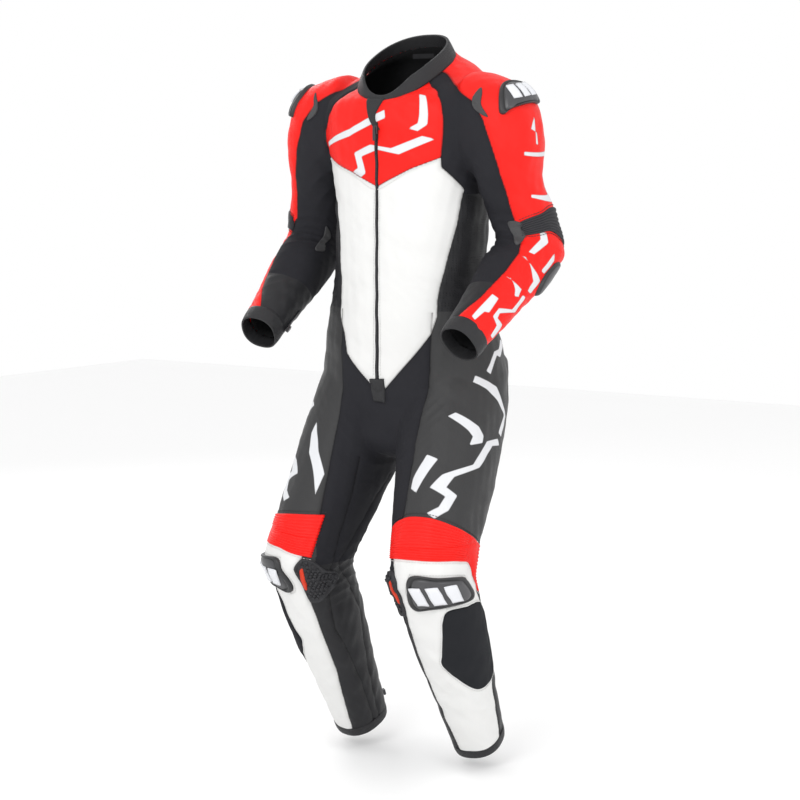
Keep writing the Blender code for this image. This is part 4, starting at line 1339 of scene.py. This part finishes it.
for side, word in SIDES:
    piece = ribbed(f"knee_ribs_{word}", charts["leg", side], KNEE_TOP[side], KNEE_BOTTOM[side], 14, 0.0020,
                   RIB_RED, 64)
    follow(piece, "knee", side)
    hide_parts(f"knee_accordion_{word}")
    piece = ribbed(f"elbow_ribs_{word}", charts["arm", side], ELBOW_TOP, ELBOW_BOTTOM, 8, 0.0024, RIB_BLACK)
    follow(piece, "elbow", side)
    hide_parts(f"elbow_accordion_{word}")
piece = ribbed("lumbar_ribs", charts["back", 1], [(-0.115, 1.015), (0, 1.022), (0.115, 1.015)],
               [(-0.115, 0.925), (0, 0.918), (0.115, 0.925)], 9, 0.0026, RIB_BLACK, 64)
follow(piece, "torso")
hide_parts("lumbar_accordion")
print("five ribbed inserts")

# %% [markdown]
# The collar, the cuffs and the ankle bands are padded rings of leather. A ring has a rounded
# section, closed all the way, and its height may change round it: the collar dips to a V at
# the throat. A slightly smaller copy of the whole skin makes the dark lining seen inside.


# %% Rings of leather
def leather_ring(name, loft, side, thickness, edges=None, around=120):
    """A padded band along a loft, between a low and a high share at each angle."""
    angles = np.linspace(0, 360, around, endpoint=False)
    low, high = edges(angles) if edges else (np.zeros(around), np.ones(around))
    rise = np.concatenate([np.linspace(0, 1, 9), 1 + 0.0 * np.arange(5), np.linspace(1, 0, 7)])
    bow = np.sin(pi * np.linspace(0, 1, 9)) * 0.0006
    turn = np.linspace(0, pi, 7)[1:-1]
    out = np.concatenate([thickness / 2 + bow, thickness / 2 * np.cos(turn), np.full(7, -thickness / 2)])
    over = np.concatenate([np.zeros(9), np.sin(turn) * 0.07, np.zeros(7)])
    share = low[:, None] + rise[None, :] * (high - low)[:, None] * 0.93 + over[None, :]
    points = loft.points(share, angles[:, None] + 0 * share, out[None, :] + 0 * share)
    n, m = share.shape
    faces = []
    for i in range(n):
        for j in range(m):
            a, b = i * m + j, ((i + 1) % n) * m + j
            faces.append((a, i * m + (j + 1) % m, ((i + 1) % n) * m + (j + 1) % m, b))
    points = mirrored(points.reshape(-1, 3), side)
    centre = points.mean(0)
    face = np.array(faces[4])
    flat = np.cross(points[face[1]] - points[face[0]], points[face[2]] - points[face[0]])
    if flat @ (points[face[0]] - centre) < 0:
        faces = [tuple(reversed(f)) for f in faces]
    return shown(name, points, faces, LEATHER_BLACK)


def soft_step(x):
    t = np.clip(x, 0, 1)
    return t * t * (3 - 2 * t)


def collar_edges(angles):
    """The collar climbs from the throat to the sides, and its ends narrow to a V."""
    away = np.abs((angles - 90 + 180) % 360 - 180)
    low = 0.36 * soft_step(away / 90)
    return low, low + 0.15 + 0.49 * soft_step(away / 45)


collar_loft = Loft([level(1.366, 0.094, 0.105, 26, -0.087), level(1.379, 0.088, 0.098, 26, -0.085),
                    level(1.393, 0.081, 0.091, 27, -0.083), level(1.407, 0.075, 0.084, 28, -0.080)])
collar = leather_ring("neck_band", collar_loft, 1, 0.0052, collar_edges)
follow(collar, "torso")
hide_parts("collar")
arm_axis, leg_axis = arm_frame()[3], leg_frame()[3]
cuff_loft = Loft([section(WRIST - INNER * 0.032, INNER, arm_axis, 0.0375, 0.0405),
                  section(WRIST - INNER * 0.016, INNER, arm_axis, 0.0368, 0.0398),
                  section(WRIST, INNER, arm_axis, 0.0355, 0.0385)])
ankle_loft = Loft([section(ANKLE - SHIN_DIR * 0.020, SHIN_DIR, -leg_axis, 0.0488, 0.0538),
                   section(ANKLE - SHIN_DIR * 0.010, SHIN_DIR, -leg_axis, 0.0480, 0.0530),
                   section(ANKLE, SHIN_DIR, -leg_axis, 0.0468, 0.0518)])
for side, word in SIDES:
    for name, loft, body, node in ((f"wrist_band_{word}", cuff_loft, "forearm", f"cuff_{word}"),
                                   (f"shin_band_{word}", ankle_loft, "shin", f"ankle_band_{word}")):
        ring = leather_ring(name, loft, side, 0.0036, around=72)
        follow(ring, body, side)
        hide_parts(node)
print("collar, cuffs and ankle bands")

# %% The lining, and the hidden CAD shells under the skin
lining_points, lining_quads = melted_skin(0.006, 0.0075, 4)
lining = cut_into_pieces("lining", lining_points, lining_quads, point_normals(lining_points, lining_quads),
                         LINING, {})
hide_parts("torso_shell")
for side, word in SIDES:
    for region, node in (("shoulder", "upper_sleeve"), ("elbow", "forearm_sleeve"), ("hip", "thigh_leg"),
                         ("knee", "shin_leg")):
        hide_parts(f"{node}_{word}")
print(len(lining), "lining pieces")

# %% [markdown]
# The main zip is a tape with a raised row of teeth, which follows the front centre line down
# to a leather tab. A black storm flap covers its top. The zips of the cuffs and calves lie
# where the CAD model has their tapes, found again on the patterns. The sliders stay as they are.


# %% Zips
def node_points(name):
    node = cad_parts[name]
    return np.array([node.matrix_world @ v.co for v in node.data.vertices]) + HANGER


def zip_on(name, chart, line, half, follow_as, side, node):
    """A tape along a line of a pattern, and its teeth."""
    line = np.array(line, float)
    beside = np.array([half, 0.0])
    tape = strip(f"{name}_cloth", chart, line + beside, line - beside, 60, 5, 0.0010, TAPE, crown=0.0004)
    follow(tape, follow_as, side)
    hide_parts(node)
    path = chart.place(curved(line, 12, closed=False), 0.0014)
    teeth = made_plain(path_object(f"{name}_teeth", [path]), ROW, Spacing=0.0024,
                       Size=(0.0014, 0.0034, 0.0012), Material=METAL)
    follow(teeth, follow_as, side)


zip_on("front_zip", charts["front", 1], [(0, z) for z in (1.276, 1.20, 1.10, 1.00, 0.90, 0.84, 0.778)],
       0.0032, "torso", 1, "front_zip_tape")
for side, word in SIDES:
    for name, chart, pattern, body in ((f"cuff_zip_{word}", "arm", arm_pattern, "forearm"),
                                       (f"calf_zip_{word}", "leg", leg_pattern, "shin")):
        u, v, _ = pattern(mirrored(node_points(f"{name}_tape"), side))
        line = [(float(u.mean()), float(v.min())), (float(u.mean()), float(mix(v.min(), v.max(), 0.5))),
                (float(u.mean()), float(v.max()))]
        zip_on(name, charts[chart, side], line, 0.0034, body, side, f"{name}_tape")
flap = strip("storm_flap", charts["front", 1],
             [(-0.029, 1.335), (-0.020, 1.300), (-0.013, 1.280), (-0.002, 1.262)],
             [(0.012, 1.322), (0.000, 1.298), (-0.002, 1.282), (0.007, 1.262)], 24, 8, 0.0028,
             LEATHER_BLACK, crown=0.0008)
follow(flap, "torso")
tab = strip("tab_leather", charts["front", 1], [(-0.014, 0.780), (-0.012, 0.757), (-0.009, 0.736)],
            [(0.013, 0.782), (0.013, 0.757), (0.012, 0.735)], 14, 10, 0.0034, LEATHER_BLACK, crown=0.0016)
follow(tab, "torso")
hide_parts("zip_garage_tab")
print("zips, flap and tab")

# %% [markdown]
# The hump behind the shoulders is a foam pad under leather. It swells from a low edge, is
# highest below the neck, and thins out down the back, with a furrow where its panels meet.

# %% The hump
def hump(columns=64, rows=56):
    s, t = np.meshgrid(np.linspace(-1, 1, columns), np.linspace(0, 1, rows), indexing="ij")
    half = 0.072 * (0.62 + 0.38 * np.sin(pi * np.clip(t, 0, 1)) ** 0.7)
    places = np.stack([s * half, 1.105 + 0.222 * t], -1)
    dome = np.clip(1 - np.abs(s) ** 2.4, 0, 1) ** 0.7 * np.clip(np.sin(pi * t ** 1.25), 0, 1) ** 0.75
    furrow = 0.0022 * np.exp(-((np.abs(s) - 0.52) / 0.045) ** 2)
    lift = 0.001 + 0.040 * dome - furrow
    points, normals = charts["back", 1].place(places, lift)
    corner = (np.arange(columns - 1)[:, None] * rows + np.arange(rows - 1)[None, :]).ravel()
    faces = [(a, a + 1, a + 1 + rows, a + rows) for a in corner.tolist()]
    points, normals = points.reshape(-1, 3), normals.reshape(-1, 3)
    return shown("back_hump", points, faced_outwards(points, faces, normals), LEATHER_BLACK)


piece = hump()
follow(piece, "torso")
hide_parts("aero_hump")
print("hump", len(piece.data.polygons), "faces")

# %% [markdown]
# Rows of stitches run beside the main seams. They are one mesh per colour, cut by region as
# the skin is.


# %% Stitches
def sewn(name, lines, material, spacing=0.0058, size=(0.0040, 0.0010, 0.0009)):
    paths = [charts[key].place(curved(line, 10, closed=False), 0.0006) for key, line in lines]
    piece = made_plain(path_object(name, paths), ROW, Spacing=spacing, Size=size, Material=material)
    print(name, len(piece.data.polygons) // 6)
    split_by_region(piece, material)


def moved_out(outline, distance):
    """The outline pushed away from its middle."""
    outline = np.array(outline, float)
    middle = outline.mean(0)
    away = outline - middle
    return outline + unit_rows(away) * distance


def loop(outline, distance):
    line = moved_out(outline, distance)
    return np.concatenate([line, line[:1]])


dark, pale = [], []
pale += [(("front", 1), [(0.118, 1.204), (0.066, 1.183), (0.0, 1.148), (-0.060, 1.176), (-0.150, 1.207)]),
         (("front", 1), [(0.0070, z) for z in (1.14, 1.05, 0.95, 0.79)]),
         (("front", 1), [(-0.0070, z) for z in (1.14, 1.05, 0.95, 0.79)])]
for side, _word in SIDES:
    pale += [(("leg", side), loop(KNEE_PLATE, 0.005)), (("leg", side), loop(PILE_PATCH, 0.004)),
             (("leg", side), np.array(KNEE_BOTTOM[side]) + (0, 0.004))]
    dark += [(("leg", side), np.array(KNEE_TOP[side]) - (0, 0.004)),
             (("arm", side), np.array(ELBOW_TOP) - (0, 0.004)),
             (("arm", side), np.array(ELBOW_BOTTOM) + (0, 0.004))]
sewn("stitches_dark", dark, THREAD)
sewn("stitches_pale", pale, PALE_THREAD)

# %% The CAD parts that stay, with their own finishes
kept = {"armour": FOAM, "pad": FOAM, "protector": FOAM, "slider": METAL, "pull": METAL, "hanger_loop": TAPE}
for name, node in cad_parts.items():
    for key, material in kept.items():
        if key in name and not node.hide_render:
            for slot in node.material_slots:
                slot.material = material
print("kept parts painted")

# %% [markdown]
# The suit hangs over a plain pale floor in soft studio light. A large key light from the
# front, a fill from the other side and a light from behind show the folds and the edges of
# the black parts without hard shadows.

# %% Studio and camera
GROUND_Z = -HANGER[2]


def plain_material(name, colour, roughness):
    made, _tree, shader, _place = new_material(name)
    shader.inputs["Base Color"].default_value = colour
    shader.inputs["Roughness"].default_value = roughness
    return made


def area_light(name, place, target, size, power):
    light = bpy.data.lights.new(name, "AREA")
    light.shape, light.size, light.energy = "DISK", size, power
    lamp = bpy.data.objects.new(name, light)
    lamp.location = place
    lamp.rotation_euler = (Vector(target) - Vector(place)).to_track_quat("-Z", "Y").to_euler()
    bpy.context.scene.collection.objects.link(lamp)


def floor_and_light():
    mesh = bpy.data.meshes.new("studio_floor")
    made = bmesh.new()
    bmesh.ops.create_grid(made, x_segments=1, y_segments=1, size=6.0)
    bmesh.ops.translate(made, verts=made.verts, vec=(0, 0, GROUND_Z - 0.004))
    made.to_mesh(mesh)
    made.free()
    mesh.materials.append(plain_material("pale_floor", (0.94, 0.94, 0.94, 1), 0.8))
    floor = bpy.data.objects.new("studio_floor", mesh)
    bpy.context.scene.collection.objects.link(floor)
    world = bpy.data.worlds.new("studio")
    world.use_nodes = True
    world.node_tree.nodes["Background"].inputs["Color"].default_value = (1.0, 1.0, 1.0, 1)
    world.node_tree.nodes["Background"].inputs["Strength"].default_value = 1.0
    bpy.context.scene.world = world
    middle = (0, 0, -0.65)
    area_light("key", (0.6, -3.4, 1.2), middle, 1.8, 42)
    area_light("fill", (3.2, -1.2, 0.4), middle, 1.6, 20)
    area_light("rim", (-2.6, 1.6, 1.0), middle, 1.4, 22)


def front_camera(azimuth=33.98, distance=4.0855, height=1.2099, pitch=6.7036):
    data = bpy.data.cameras.new("camera")
    data.lens, data.sensor_width, data.shift_x = 93.0, 36.0, -0.00695
    camera = bpy.data.objects.new("camera", data)
    turn = radians(azimuth)
    camera.location = at_hanger((sin(turn) * distance, -cos(turn) * distance, height))
    camera.rotation_euler = (radians(90 - pitch), 0, turn)
    bpy.context.scene.collection.objects.link(camera)
    bpy.context.scene.camera = camera


floor_and_light()
front_camera()
bpy.context.scene.view_settings.view_transform = "Standard"
print("camera at", [round(x, 3) for x in bpy.context.scene.camera.location])
